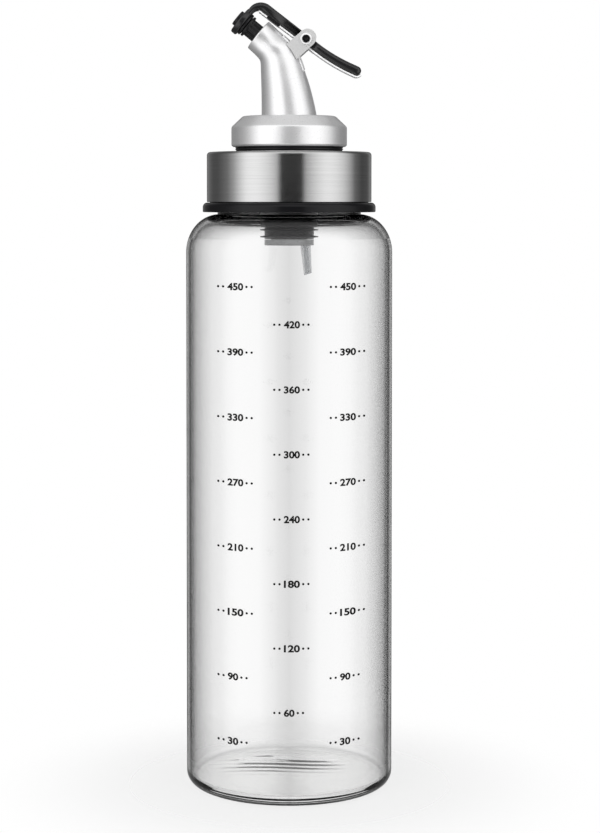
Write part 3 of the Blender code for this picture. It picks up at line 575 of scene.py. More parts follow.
def lathe(name, profile, steps=FINE_STEPS, ring=True, shift=None):
    """Turns (radius, height) points round Z. A ring's profile is closed. shift may move each point."""
    shape = bmesh.new()
    rows = []
    for radius, height in profile:
        if radius == 0:
            rows.append([shape.verts.new((0, 0, height))] * steps)
            continue
        row = []
        for i in range(steps):
            angle = tau * i / steps
            r, z = shift(radius, height, angle) if shift else (radius, height)
            row.append(shape.verts.new((r * cos(angle), r * sin(angle), z)))
        rows.append(row)
    pairs = list(zip(rows, rows[1:]))
    if ring:
        pairs.append((rows[-1], rows[0]))
    for first, second in pairs:
        for i in range(steps):
            j = (i + 1) % steps
            corners = list(dict.fromkeys((first[i], second[i], second[j], first[j])))
            if len(corners) > 2:
                shape.faces.new(corners)
    return as_object(name, shape)


def plug(radius, top, bottom, steps=SMALL_STEPS):
    """A plain cylinder round Z, which cuts a hole."""
    return lathe("plug", [(0, top), (radius, top), (radius, bottom), (0, bottom)], steps, ring=False)


def skin(name, rings):
    """Skins closed rings of equal point counts, with a cap on each end."""
    shape = bmesh.new()
    rows = [[shape.verts.new(point) for point in ring] for ring in rings]
    count = len(rows[0])
    for low, high in zip(rows, rows[1:]):
        for i in range(count):
            j = (i + 1) % count
            shape.faces.new((low[i], low[j], high[j], high[i]))
    shape.faces.new(rows[0])
    shape.faces.new(rows[-1])
    return as_object(name, shape)


def boolean(obj, other, operation="DIFFERENCE"):
    """Applies one Boolean and removes the other object."""
    put(obj.modifiers.new("cut", "BOOLEAN"), operation=operation, object=other)
    mesh = final_mesh(obj)
    obj.modifiers.clear()
    obj.data = mesh
    remove(other)
    smooth(mesh)
    return obj


def dress(obj, surface, body, slot, *nodes):
    """Gives a piece its surface, and where it has them its body and the CAD nodes it replaces. Its slot
    argument is not used.
    """
    obj.data.materials.clear()
    obj.data.materials.append(surface)
    if body:
        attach(obj, body)
    if nodes:
        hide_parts(*nodes)


# Glass jar

def thread_rise(height, angle, reach, phase):
    """How far a rounded right-hand thread stands out at a point of a wall."""
    low, high = reach
    turn = (height / THREAD_PITCH - angle / tau + phase) % 1.0
    across = abs(turn - 0.5) * THREAD_PITCH * 2 / THREAD_WIDTH
    rise = THREAD_RISE * sqrt(max(0.0, 1.0 - across * across))
    fade = min(height - low, high - height) / (THREAD_PITCH / 2)
    return rise * max(0.0, min(1.0, fade))


def thread_rows(radius, reach):
    low, high = reach
    count = round((high - low) / THREAD_ROW)
    return [(radius, low + (high - low) * i / count) for i in range(count + 1)]


def floor_wave(x, y):
    """Unevenness of the moulded floor, which shows as refracted lines behind the middle."""
    offset = (x - FLOOR_WAVE_CENTER[0]) / FLOOR_WAVE_SPREAD[0]
    depth = (y - FLOOR_WAVE_CENTER[1]) / FLOOR_WAVE_SPREAD[1]
    bend = FLOOR_WAVE_BEND * sin(tau * x / FLOOR_BEND_LENGTH)
    wave = sin(tau * (y + bend) / FLOOR_WAVE_LENGTH)
    return FLOOR_WAVE * wave * exp(-offset * offset - depth * depth)


def make_glass():
    body, _, neck_top = box_of("glass_bottle")[1]
    center = body - SHOULDER_WIDTH
    inner = body - BODY_WALL
    inner_neck = NECK_RADIUS - NECK_WALL
    neck_deg = degrees(acos((NECK_RADIUS - center) / SHOULDER_WIDTH))
    inner_height = SHOULDER_HEIGHT - BODY_WALL
    roof = SHOULDER_TANGENT_HEIGHT + inner_height
    throat = center - inner_neck
    heel = INNER_HEEL_RADIUS
    profile = [((inner - heel) * i / FLOOR_ROWS, BASE_THICKNESS) for i in range(FLOOR_ROWS)]
    profile += arc(inner - heel, BASE_THICKNESS + heel, heel, heel, -90, 0, INNER_HEEL_STEPS)
    tangent = SHOULDER_TANGENT_HEIGHT
    profile += arc(center, tangent, SHOULDER_WIDTH - BODY_WALL, inner_height, 0, 90, INNER_SHOULDER_STEPS)
    profile += arc(center, roof + throat, throat, throat, 270, 180, THROAT_STEPS)[1:]
    rim = neck_top - RIM_RADIUS
    profile += arc(inner_neck + RIM_RADIUS, rim, RIM_RADIUS, RIM_RADIUS, 180, 90, RIM_STEPS)
    profile += arc(NECK_RADIUS - RIM_RADIUS, rim, RIM_RADIUS, RIM_RADIUS, 90, 0, RIM_STEPS)
    profile += thread_rows(NECK_RADIUS, NECK_THREAD)[::-1]
    profile += arc(center, tangent, SHOULDER_WIDTH, SHOULDER_HEIGHT, neck_deg, 0, SHOULDER_STEPS)
    profile += arc(body - HEEL_RADIUS, HEEL_RADIUS, HEEL_RADIUS, HEEL_RADIUS, 0, -90, HEEL_STEPS)
    for i in range(PUNT_ROWS + 1):
        share = 1 - i / PUNT_ROWS
        profile.append((PUNT_RADIUS * share, PUNT_HEIGHT * (1 + cos(pi * share)) / 2))

    def shift(radius, height, angle):
        if height == BASE_THICKNESS:
            return radius, height + floor_wave(radius * cos(angle), radius * sin(angle))
        if radius == NECK_RADIUS:
            return radius + thread_rise(height, angle, NECK_THREAD, 0.0), height
        return radius, height

    return lathe("glass_jar", profile, ring=False, shift=shift)


def number_mesh(value):
    """A number as a thick flat mesh in a box from 0 to 1 in X and Y, and in Z."""
    text = put(bpy.data.curves.new("number", "FONT"), body=str(value), resolution_u=INK_CURVE_STEPS,
               offset=INK_SPREAD, extrude=0.5)
    obj = add_object("number", text)
    mesh = final_mesh(obj)
    remove(obj)
    low = [min(v.co[i] for v in mesh.vertices) for i in range(3)]
    high = [max(v.co[i] for v in mesh.vertices) for i in range(3)]
    for v in mesh.vertices:
        v.co = [(v.co[i] - low[i]) / (high[i] - low[i]) for i in range(3)]
    return mesh


def make_scale():
    """Printed numbers between pairs of dots, in three columns on the front of the glass."""
    wall = box_of("glass_bottle")[1].x + INK_GAP
    shape = bmesh.new()
    for start, value, height, step in SCALE_COLUMNS:
        while value > 0:
            width = DIGIT_WIDTH * len(str(value))
            after = DIGIT_START + width + DOT_AFTER
            mesh = number_mesh(value)
            place = Matrix.Translation((start + DIGIT_START, height - DIGIT_HEIGHT / 2, 0))
            mesh.transform(place @ Matrix.Diagonal((width, DIGIT_HEIGHT, 1, 1)))
            shape.from_mesh(mesh)
            for dot in (0, DOT_STEP, after, after + DOT_STEP):
                place = Matrix.Translation((start + dot, height, 0.5))
                bmesh.ops.create_cone(shape, cap_ends=True, segments=DOT_SIDES, radius1=DOT_RADIUS,
                                      radius2=DOT_RADIUS, depth=1, matrix=place)
            value -= SCALE_STEP_ML
            height -= step
    for vert in shape.verts:
        x, z, depth = vert.co
        grow = 1 + INK_THICKNESS * depth / wall
        vert.co = (x * grow, -sqrt(wall * wall - x * x) * grow, z)
    bmesh.ops.remove_doubles(shape, verts=shape.verts, dist=INK_GAP)
    return as_object("printed_scale", shape)


# Screw cap

def make_gasket():
    low, high = box_of("cap_gasket")
    inner = NECK_RADIUS - NECK_WALL - (high.x - NECK_RADIUS)
    return lathe("gasket", hoop(inner, high.x, low.z, high.z, [TRIM] * 4, FINE_EDGE_STEPS))


def skirt_radius():
    """Inner radius of the cap's skirt."""
    return box_of("threaded_cap")[1].x - SKIRT_WALL


def make_ring():
    low, high = box_of("grip_ring")
    bore = skirt_radius() + SPIGOT_WALL + RING_BORE_GAP
    return lathe("bumper_ring", hoop(bore, high.x, low.z, high.z, (TRIM, RING_CORNER, RING_FOOT, TRIM)))


def make_cap():
    low, high = box_of("threaded_cap")
    skirt = skirt_radius()
    corner = SLEEVE_CORNER - SLEEVE_WALL
    socket = SOCKET_RADIUS + SOCKET_WALL
    socket_bottom = high.z - SOCKET_LENGTH
    spigot_bottom = low.z
    shelf = spigot_bottom + SPIGOT_DEPTH
    under = high.z - CAP_TOP_THICKNESS
    profile = rounded([
        (SOCKET_RADIUS, high.z, TRIM),
        (high.x, high.z, corner),
        (high.x, shelf, 0),
        (skirt + SPIGOT_WALL, shelf, 0),
        (skirt + SPIGOT_WALL, spigot_bottom, TRIM),
        (skirt, spigot_bottom, 0),
    ])
    profile += thread_rows(skirt, CAP_THREAD)
    profile += rounded([
        (skirt, under, 0),
        (socket, under, 0),
        (socket, socket_bottom, TRIM),
        (SOCKET_RADIUS, socket_bottom, TRIM),
    ])

    def shift(radius, height, angle):
        if radius == skirt:
            return radius - thread_rise(height, angle, CAP_THREAD, 0.5), height
        return radius, height

    return lathe("cap_body", profile, shift=shift)


def make_sleeve():
    low, high = box_of("steel_sleeve")
    inner = high.x - SLEEVE_WALL
    roof = high.z - SLEEVE_WALL
    corners = [
        (SLEEVE_HOLE_RADIUS, high.z, 0),
        (high.x, high.z, SLEEVE_CORNER),
        (high.x, low.z, TRIM),
        (inner, low.z, 0),
        (inner, roof, SLEEVE_CORNER - SLEEVE_WALL),
        (SLEEVE_HOLE_RADIUS, roof, 0),
    ]
    return lathe("sleeve", rounded(corners, SLEEVE_CORNER_STEPS))


# Stopper

def make_stopper():
    low, high = box_of("silicone_stopper")
    bore = CORE_RADIUS + CORE_GAP
    flange = high.x
    bottom = high.z - FLANGE_THICKNESS
    step = bottom - STOPPER_LENGTH
    groove = FLANGE_GROOVE / 2
    lip_top = box_of("pourer_base")[0].z + DISC_FOOT_HEIGHT - DISC_BEVEL - LIP_GAP
    ridge = (high.z + lip_top) / 2
    corners = [
        (bore, high.z, TRIM),
        (LIP_INNER_RADIUS, high.z, 0),
        (LIP_INNER_RADIUS, lip_top, HALF_TRIM),
        (LIP_RADIUS, lip_top, HALF_TRIM),
        (LIP_RADIUS, ridge + groove, HALF_TRIM),
        (LIP_RADIUS - FLANGE_GROOVE, ridge, 0),
        (LIP_RADIUS, ridge - groove, HALF_TRIM),
        (LIP_RADIUS, high.z, 0),
        (flange, high.z, 0),
        (flange, bottom + FLANGE_THICKNESS / 2 + groove, HALF_TRIM),
        (flange - FLANGE_GROOVE, bottom + FLANGE_THICKNESS / 2, 0),
        (flange, bottom + FLANGE_THICKNESS / 2 - groove, HALF_TRIM),
        (flange, bottom, HALF_TRIM),
        (STOPPER_RADIUS, bottom, TRIM),
        (STOPPER_RADIUS, step, TRIM),
        (STOPPER_NECK_RADIUS, step, HALF_TRIM),
    ]
    for drop in FIN_ROOT_DROPS:
        top = step - drop
        tip = FIN_THICKNESS / 4
        corners += [
            (STOPPER_NECK_RADIUS, top, HALF_TRIM),
            (FIN_RADIUS, top - tip, HALF_TRIM),
            (FIN_RADIUS, top - FIN_THICKNESS + tip, HALF_TRIM),
            (STOPPER_NECK_RADIUS, top - FIN_THICKNESS, HALF_TRIM),
        ]
    corners += [(STOPPER_NECK_RADIUS, low.z, TRIM), (bore, low.z, TRIM)]
    return lathe("stopper", rounded(corners, SMALL_FILLET_STEPS))


def make_core():
    low, high = box_of("stopper_core")
    head_top = low.z + CORE_HEAD_HEIGHT
    profile = [(0, high.z), (CORE_RADIUS, high.z), (CORE_RADIUS, head_top), (STOPPER_NECK_RADIUS, head_top)]
    profile += arc(STOPPER_NECK_RADIUS - TRIM, low.z + TRIM, TRIM, TRIM, 0, -90, CORE_EDGE_STEPS)
    profile += [(0, low.z)]
    core = lathe("plug_core", profile, SMALL_STEPS, ring=False)
    air_way = VENT_TOP_RADIUS + CORE_GAP
    for x, radius, top in (
        (-OIL_WAY_OFFSET, OIL_WAY - OIL_WAY_OFFSET, high.z + TRIM),
        (VENT_OFFSET, air_way, head_top - CORE_HEAD_HEIGHT / 4),
    ):
        hole = plug(radius, top, low.z - TRIM, TUBE_STEPS)
        core = boolean(core, moved(hole, Matrix.Translation((x, 0, 0))))
    return core


def swept(name, points, radii, steps):
    """A round tube through points in the XZ plane, with a radius at each."""
    rings = []
    for i, (point, radius) in enumerate(zip(points, radii)):
        ahead = points[min(i + 1, len(points) - 1)] - points[max(i - 1, 0)]
        ahead.normalize()
        up = ahead.cross(ASIDE)
        angles = [tau * k / steps for k in range(steps)]
        rings.append([point + (ASIDE * cos(a) + up * sin(a)) * radius for a in angles])
    return skin(name, rings)


def make_vent():
    root = Vector((VENT_OFFSET, 0, box_of("vent_tube")[1].z))
    lean = radians(VENT_LEAN_DEG)
    direction = Vector((sin(lean), 0, -cos(lean)))
    bend = root - Vector((0, 0, CORE_HEAD_HEIGHT))
    points = [root]
    radii = [VENT_TOP_RADIUS]
    for i in range(VENT_ROWS + 1):
        share = i / VENT_ROWS
        points.append(bend + direction * (VENT_LENGTH + VENT_CUT_ALLOWANCE) * share)
        radii.append(VENT_TOP_RADIUS + (VENT_END_RADIUS - VENT_TOP_RADIUS) * share)
    tube = swept("air_tube", points, radii, TUBE_STEPS)
    inner = [root + Vector((0, 0, TRIM))] + points[1:-1] + [points[-1] + direction * TRIM]
    tube = boolean(tube, swept("bore", inner, [VENT_BORE_RADIUS] * len(inner), BORE_STEPS))
    cut = bmesh.new()
    bmesh.ops.create_cube(cut, size=VENT_LENGTH)
    end = tilted(bend + direction * VENT_LENGTH, radians(VENT_CUT_DEG - VENT_LEAN_DEG))
    cut.transform(end @ Matrix.Translation((0, 0, -VENT_LENGTH / 2)))
    return boolean(tube, as_object("cut", cut))


# Pourer disc

def make_disc():
    low, high = box_of("pourer_base")
    side_bottom = low.z + DISC_FOOT_HEIGHT
    side_top = side_bottom + DISC_SIDE_HEIGHT
    cavity = high.x - DISC_FOOT_INSET - DISC_WALL
    cavity_top = high.z - DISC_WALL
    bore = CORE_RADIUS + CORE_GAP
    roof = cavity_top + CORE_GAP
    corners = [
        (OIL_WAY, high.z, 0),
        (DISC_TOP_RADIUS, high.z, DISC_EDGE),
        (high.x, side_top, DISC_EDGE),
        (high.x, side_bottom, TRIM * 2),
        (high.x - DISC_BEVEL, side_bottom - DISC_BEVEL, TRIM),
        (LIP_INNER_RADIUS - LIP_GAP, side_bottom - DISC_BEVEL, HALF_TRIM),
        (LIP_INNER_RADIUS - LIP_GAP, low.z, HALF_TRIM),
        (cavity, low.z, TRIM),
        (cavity, side_top - DISC_WALL, 0),
        (cavity - (high.z - side_top), cavity_top, 0),
        (bore + DISC_BOSS_WALL, cavity_top, 0),
        (bore + DISC_BOSS_WALL, low.z, TRIM),
        (bore, low.z, TRIM),
        (bore, roof, 0),
        (OIL_WAY, roof, 0),
    ]
    return lathe("disc", rounded(corners, DISC_EDGE_STEPS))


# Spout

def spout_rows():
    """The stations of the spout with smooth steps between them."""
    rows = SPOUT_STATION_SHARES
    made = []
    for i in range(len(rows) - 1):
        before = rows[max(i - 1, 0)]
        after = rows[min(i + 2, len(rows) - 1)]
        for k in range(SPOUT_SUBSTEPS):
            t = k / SPOUT_SUBSTEPS
            row = []
            for a, b, c, d in zip(before, rows[i], rows[i + 1], after):
                curve = (2 * a - 5 * b + 4 * c - d) * t * t + (3 * b - a - 3 * c + d) * t ** 3
                row.append(b + ((c - a) * t + curve) / 2)
            made.append(row)
    return made + [rows[-1]]


def spout_station(row):
    """Centre, radius and the direction from front to back of one round cross-section."""
    low, high = box_of("spout_body")
    front = Vector((row[0] * high.x, 0, low.z + row[1] * SPOUT_HEIGHT))
    back = Vector((row[2] * high.x, 0, low.z + row[3] * SPOUT_HEIGHT))
    return (front + back) / 2, (back - front).length / 2, (back - front).normalized()


def head_frame():
    """The matrix that takes a piece made along +Z to the nozzle's axis on the head's face."""
    return tilted(spout_station(SPOUT_STATION_SHARES[-1])[0], -radians(HEAD_TILT_DEG))


def round_row(center, radius, across):
    """A circle of points in the plane of across and Y."""
    angles = [tau * i / SPOUT_STEPS for i in range(SPOUT_STEPS)]
    return [center + across * radius * cos(a) + Vector((0, radius * sin(a), 0)) for a in angles]


def spout_rings(grow=0.0, rim=0.0):
    """The spout's outer rings, made wider by grow, or with the edge of the head rounded by rim."""
    stations = [spout_station(row) for row in spout_rows()]
    rings = [round_row(center, radius + grow, across) for center, radius, across in stations]
    if rim:
        rings.pop()
        center, radius, across = stations[-1]
        out = square_to(across)
        for k in range(FILLET_STEPS + 1):
            angle = pi / 2 * k / FILLET_STEPS
            middle = center + out * rim * (sin(angle) - 1)
            rings.append(round_row(middle, radius - rim * (1 - cos(angle)), across))
    return rings


def box_piece(size, matrix):
    shape = bmesh.new()
    bmesh.ops.create_cube(shape, size=1)
    shape.transform(matrix @ Matrix.Diagonal((*size, 1)))
    return as_object("box", shape)


def make_spout():
    spout = skin("spout", spout_rings(rim=HEAD_RIM))
    bore = plug(NOZZLE_SHANK_RADIUS + SLIM_GAP, TRIM, -NOZZLE_SHANK_LENGTH - SLIM_GAP)
    spout = boolean(spout, moved(bore, head_frame()))
    angle = radians(EAR_ANGLE_DEG)
    along = toward(angle)
    down = square_to(along)
    size = (EAR_LENGTH, STRAP_WIDTH + 2 * STRAP_GAP, STRAP_RISE + STRAP_DROP + 2 * STRAP_GAP)
    place = pin + along * (EAR_LENGTH - EAR_RADIUS) + down * (STRAP_DROP - STRAP_RISE) / 2
    seat = box_piece(size, tilted(place, -angle))
    floor = STRAP_PROUD - STRAP_THICKNESS - STRAP_GAP
    seat = boolean(seat, skin("seat_floor", spout_rings(floor)))
    return boolean(spout, seat)


def make_nozzle():
    top = NOZZLE_LENGTH + NOZZLE_LIP_THICKNESS
    flute_top = NOZZLE_LENGTH - TRIM
    profile = rounded([
        (NOZZLE_BORE_RADIUS, top, TRIM),
        (NOZZLE_LIP_RADIUS, top, TRIM),
        (NOZZLE_LIP_RADIUS, NOZZLE_LENGTH, HALF_TRIM),
        (NOZZLE_RADIUS + TRIM / 4, NOZZLE_LENGTH, 0),
    ], NOZZLE_EDGE_STEPS)
    for i in range(FLUTE_ROWS + 1):
        profile.append((NOZZLE_RADIUS, SLIM_GAP + (flute_top - SLIM_GAP) * (1 - i / FLUTE_ROWS)))
    profile += [
        (NOZZLE_SHANK_RADIUS, SLIM_GAP),
        (NOZZLE_SHANK_RADIUS, -NOZZLE_SHANK_LENGTH),
        (NOZZLE_BORE_RADIUS, -NOZZLE_SHANK_LENGTH),
    ]

    def shift(radius, height, angle):
        if radius != NOZZLE_RADIUS:
            return radius, height
        groove = (0.5 - 0.5 * cos(FLUTE_COUNT * angle)) ** 2
        fade = min(1.0, (flute_top - height) / (2 * TRIM) + FLUTE_END_SHARE)
        return radius - FLUTE_DEPTH * groove * fade, height

    return moved(lathe("nozzle", profile, STEPS_PER_FLUTE * FLUTE_COUNT, shift=shift), head_frame())


# Hinge

def make_pin():
    top = box_of("pivot_pin")[1].y
    reach = top - PIN_HEAD_HEIGHT
    crown = PIN_HEAD_HEIGHT / 2
    half = arc(0, top - HALF_TRIM, PIN_DIMPLE_RADIUS, PIN_DIMPLE_DEPTH, -90, 0, FILLET_STEPS)
    half[0] = (0, half[0][1])
    half += arc(PIN_HEAD_RADIUS - crown, top - crown, crown, crown, 90, 0, FILLET_STEPS)
    half += [(PIN_HEAD_RADIUS, reach), (PIN_RADIUS, reach)]
    profile = half + [(radius, -height) for radius, height in reversed(half)]
    return moved(lathe("hinge_pin", profile, PIN_STEPS, ring=False), laid_across(pin))


def make_washer(node):
    low, high = box_of(node)
    half = (high.y - low.y) / 2
    outer = (high.x - low.x) / 2
    profile = hoop(PIN_RADIUS + SLIM_GAP, outer, -half, half, [half / 2] * 4, SMALL_FILLET_STEPS)
    return moved(lathe("ring_" + node, profile, PIN_STEPS), laid_across((low + high) / 2))


# Lever

def arm_axes():
    """Unit vectors along the lever towards its tail, and square to it upwards."""
    along = toward(-radians(ARM_ANGLE_DEG))
    return along, square_to(along)


def eye_level():
    """Height of the eye's mid-plane over the head's face, along the nozzle."""
    button = NOZZLE_LENGTH + NOZZLE_LIP_THICKNESS + BUTTON_GAP + BUTTON_FLANGE_THICKNESS
    return button + SLIM_GAP + EYE_THICKNESS / 2


def lever_path():
    """Points along the lever's middle, from the eye to the tail's tip: place, direction, half thickness."""
    along, _ = arm_axes()
    head = head_frame()
    eye = head @ Vector((0, 0, eye_level() - EYE_ABOVE_NECK))
    neck = (head.to_3x3() @ Vector((1, 0, 0))).normalized()
    gap = pin - eye
    cross = neck.x * along.z - neck.z * along.x
    corner = eye + neck * ((gap.x * along.z - gap.z * along.x) / cross)
    turn = acos(max(-1.0, min(1.0, neck.dot(along))))
    start = corner - neck * ARM_BEND_RADIUS * tan(turn / 2)
    thin = LEVER_NECK_THICKNESS / 2
    path = [(eye + neck * EYE_RADIUS / 2, neck, thin)]
    heading = atan2(neck.z, neck.x)
    middle = start - square_to(toward(heading)) * ARM_BEND_RADIUS
    for i in range(BEND_STEPS + 1):
        direction = toward(heading - turn * i / BEND_STEPS)
        half = thin + (LEVER_THICKNESS / 2 - thin) * i / BEND_STEPS
        path.append((middle + square_to(direction) * ARM_BEND_RADIUS, direction, half))
    point = pin + along * TAIL_STRAIGHT
    path.append((point, along, TAIL_ROOT_THICKNESS / 2))
    heading = atan2(along.z, along.x)
    for i in range(TAIL_STEPS):
        heading += radians(TAIL_TURN_DEG) / TAIL_STEPS
        direction = toward(heading)
        point = point + direction * TAIL_ARC_LENGTH / TAIL_STEPS
        growth = (TAIL_END_THICKNESS - TAIL_ROOT_THICKNESS) * (i + 1) / (TAIL_STEPS + 1)
        path.append((point, direction, (TAIL_ROOT_THICKNESS + growth) / 2))
    path.append((point + direction * TAIL_END_STRAIGHT, direction, TAIL_END_THICKNESS / 2))
    return path


def section(point, direction, low, high, half_width, corner, steps=LEVER_CORNER_STEPS):
    """A rounded rectangle square to the path, from low to high over its middle line."""
    up = square_to(direction)
    corner = min(corner, (high - low) / 2)
    points = []
    for side, level, start in ((1, high, 0), (-1, high, 90), (-1, low, 180), (1, low, 270)):
        inward = -1 if level == high else 1
        for k in range(steps + 1):
            angle = radians(start + 90 * k / steps)
            across = side * (half_width - corner) + corner * cos(angle)
            height = level + inward * corner + corner * sin(angle)
            points.append(point + ASIDE * across + up * height)
    return points


def lug(sign, grow):
    """A lug under the arm's edge, and the strip's notch for it when it is grown."""
    along, up = arm_axes()
    depth = LEVER_THICKNESS / 2 + SLIM_GAP + STRIP_THICKNESS
    size = (LUG_FAR - LUG_NEAR + 2 * grow, LUG_WIDTH + 2 * grow, depth + 2 * grow)
    middle = pin - along * (LUG_FAR + LUG_NEAR) / 2 - up * depth / 2
    middle += Vector((0, sign * (LEVER_HALF_WIDTH - LEVER_EDGE - LUG_WIDTH / 2), 0))
    return box_piece(size, tilted(middle, radians(ARM_ANGLE_DEG)))


def window(before, after):
    """A cutter round the spring, from before the pin to after it along the lever."""
    half = SPRING_TURNS * SPRING_PITCH / 2 + SPRING_WIRE_RADIUS + WINDOW_MARGIN
    size = (before + after, 2 * half, 4 * LEVER_THICKNESS)
    middle = pin + arm_axes()[0] * (after - before) / 2
    return box_piece(size, tilted(middle, radians(ARM_ANGLE_DEG)))


def make_lever():
    path = lever_path()
    rings = [section(p, d, -half, half, LEVER_HALF_WIDTH, LEVER_CORNER) for p, d, half in path]
    tip, direction, half = path[-1]
    for i in range(1, TIP_STEPS):
        angle = pi / 2 * i / TIP_STEPS
        thin = half * cos(angle)
        narrow = LEVER_HALF_WIDTH - half * (1 - cos(angle))
        place = tip + direction * TAIL_TIP_LENGTH * sin(angle)
        rings.append(section(place, direction, -thin, thin, narrow, LEVER_CORNER))
    lever = skin("flip_arm", rings)
    level = EYE_THICKNESS / 2
    hole = BUTTON_STEM_RADIUS + SLIM_GAP
    eye = lathe("eye", hoop(hole, EYE_RADIUS, -level, level, (0, EYE_EDGE, EYE_EDGE, 0)), SMALL_STEPS)
    stem = plug(hole, level * 2, -level * 2)
    place = head_frame() @ Matrix.Translation((0, 0, eye_level()))
    for obj, operation in ((eye, "UNION"), (stem, "DIFFERENCE")):
        lever = boolean(lever, moved(obj, place), operation)
    for sign in (-1, 1):
        lever = boolean(lever, lug(sign, 0.0), "UNION")
    lever = boolean(lever, window(WINDOW_REACH, WINDOW_REACH))
    hole = plug(PIN_RADIUS + SLIM_GAP, 2 * LEVER_HALF_WIDTH, -2 * LEVER_HALF_WIDTH, PIN_STEPS)
    return boolean(lever, moved(hole, laid_across(pin)))


def make_strip():
    rings = []
    for point, direction, half in lever_path()[1 + BEND_STEPS // 2:]:
        top = -half - SLIM_GAP
        low = top - STRIP_THICKNESS
        rings.append(section(point, direction, low, top, STRIP_HALF_WIDTH, STRIP_EDGE, FINE_EDGE_STEPS))
    heading = atan2(direction.z, direction.x)
    top = -TAIL_TIP_LENGTH - SLIM_GAP
    low = top - STRIP_THICKNESS
    for i in range(1, STRIP_CURL_STEPS + 1):
        turn = radians(STRIP_CURL_DEG) * i / STRIP_CURL_STEPS
        half_width = STRIP_HALF_WIDTH - half * (1 - cos(turn))
        ahead = toward(heading + turn)
        rings.append(section(point, ahead, low, top, half_width, STRIP_EDGE, FINE_EDGE_STEPS))
    strip = skin("arm_strip", rings)
    for sign in (-1, 1):
        strip = boolean(strip, lug(sign, SLIM_GAP))
    return boolean(strip, window(WINDOW_REACH + SPRING_SPOUT_LEG, SPRING_TAIL_LEG + WINDOW_MARGIN))


def make_button():
    start = NOZZLE_LENGTH + NOZZLE_LIP_THICKNESS + BUTTON_GAP
    shelf = start + BUTTON_FLANGE_THICKNESS
    head = shelf + EYE_THICKNESS + 2 * SLIM_GAP
    top = head + BUTTON_HEAD_THICKNESS
    edge = BUTTON_EDGE
    flange = BUTTON_FLANGE_RADIUS - TRIM
    profile = [(0, top)]
    profile += arc(BUTTON_HEAD_RADIUS - edge, top - edge, edge, edge, 90, 0, BUTTON_EDGE_STEPS)
    profile += [(BUTTON_HEAD_RADIUS, head), (BUTTON_STEM_RADIUS, head), (BUTTON_STEM_RADIUS, shelf)]
    profile += arc(flange, shelf - TRIM, TRIM, TRIM, 90, 0, SMALL_FILLET_STEPS)
    profile += arc(flange, start + TRIM, TRIM, TRIM, 0, -90, SMALL_FILLET_STEPS)
    profile += [(0, start)]
    return moved(lathe("seal", profile, SMALL_STEPS, ring=False), head_frame())


def make_spring(surface):
    along, up = arm_axes()
    width = SPRING_TURNS * SPRING_PITCH
    lift = radians(SPRING_SPOUT_LEG_LIFT_DEG)
    first = -pi / 2 + lift
    total = tau * SPRING_TURNS - lift
    steps = SPRING_POINTS_PER_TURN * SPRING_TURNS
    coil = []
    for i in range(steps + 1):
        angle = first + total * i / steps
        spoke = along * cos(angle) + up * sin(angle)
        coil.append(pin + spoke * SPRING_MEAN_RADIUS + ASIDE * (width * i / steps - width / 2))
    arrive = -along * sin(first) + up * cos(first)
    points = [coil[0] - arrive * SPRING_SPOUT_LEG] + coil + [coil[-1] + along * SPRING_TAIL_LEG]
    curve = put(bpy.data.curves.new("spring_wire", "CURVE"), dimensions="3D", use_fill_caps=True,
                bevel_depth=SPRING_WIRE_RADIUS, bevel_resolution=SPRING_WIRE_STEPS)
    spline = curve.splines.new("POLY")
    spline.points.add(len(points) - 1)
    for point, co in zip(spline.points, points):
        point.co = (*co, 1)
    spline.use_smooth = True
    path = add_object("spring_path", curve)
    obj = add_object("spring_wire", final_mesh(path))
    remove(path)
    dress(obj, surface, None, "bright_steel", "return_spring")
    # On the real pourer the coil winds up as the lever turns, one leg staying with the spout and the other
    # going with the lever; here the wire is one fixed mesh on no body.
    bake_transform(obj)


def make_bracket(surface, rim):
    """The bracket keeps its CAD shape, with its facets smoothed and its edges broken to a rim; the bevels and
    the strap take the pale steel, a painted highlight on the grey.
    """
    source = frame["nodes"]["hinge_bracket"]
    mesh = source.data.copy()
    mesh.transform(source.matrix_world)
    bracket = add_object("strap_bracket", mesh)
    dress(bracket, surface, "pourer", "matte_grey", "hinge_bracket")
    # The strap's faces and the bevels get the pale steel as painted highlight bars and edge glints.
    mesh.materials.append(rim)
    for face in mesh.polygons:
        if abs(face.center.y) < STRAP_WIDTH / 2 + TRIM:
            face.material_index = 1
    put(bracket.modifiers.new("weld", "WELD"), merge_threshold=BRACKET_WELD)
    put(bracket.modifiers.new("bevel", "BEVEL"), width=BRACKET_EDGE, segments=FINE_EDGE_STEPS,
        limit_method="ANGLE", angle_limit=radians(SHARP_DEG), material=1)


# Materials

def blank(name):
    """A new material with its shader, its output and the tools for more nodes."""
    surface = bpy.data.materials.new(name)
    surface.use_nodes = True
    tree = surface.node_tree
    return surface, tree.nodes["Principled BSDF"], tree.nodes["Material Output"], *node_tools(tree)


def noise(node, join, source, socket, stretch, scale, detail, **more):
    mapping = join(source, node("Mapping", in_Scale=stretch), socket)
    texture = node("TexNoise", in_Scale=scale, in_Detail=detail, **more)
    return join(mapping, texture, 0, "Vector")


def vary(node, join, shader, texture, ends, bump, roughs, colors=None):
    """Lets a noise, between two of its levels, drive a surface's bump, its roughness and its colour."""
    raised = node("Bump", in_Strength=bump[0], in_Distance=bump[1])
    join(texture, raised, 0, "Height")
    join(raised, shader, 0, "Normal")
    if colors:
        ramp = join(texture, node("ValToRGB"))
        for element, place, color in zip(ramp.color_ramp.elements, ends, colors):
            element.position = place
            element.color = (*color, 1)
        join(ramp, shader, 0, "Base Color")
    if roughs:
        spread = node("MapRange", in_1=ends[0], in_2=ends[1], in_3=roughs[0], in_4=roughs[1])
        join(join(texture, spread), shader, 0, "Roughness")


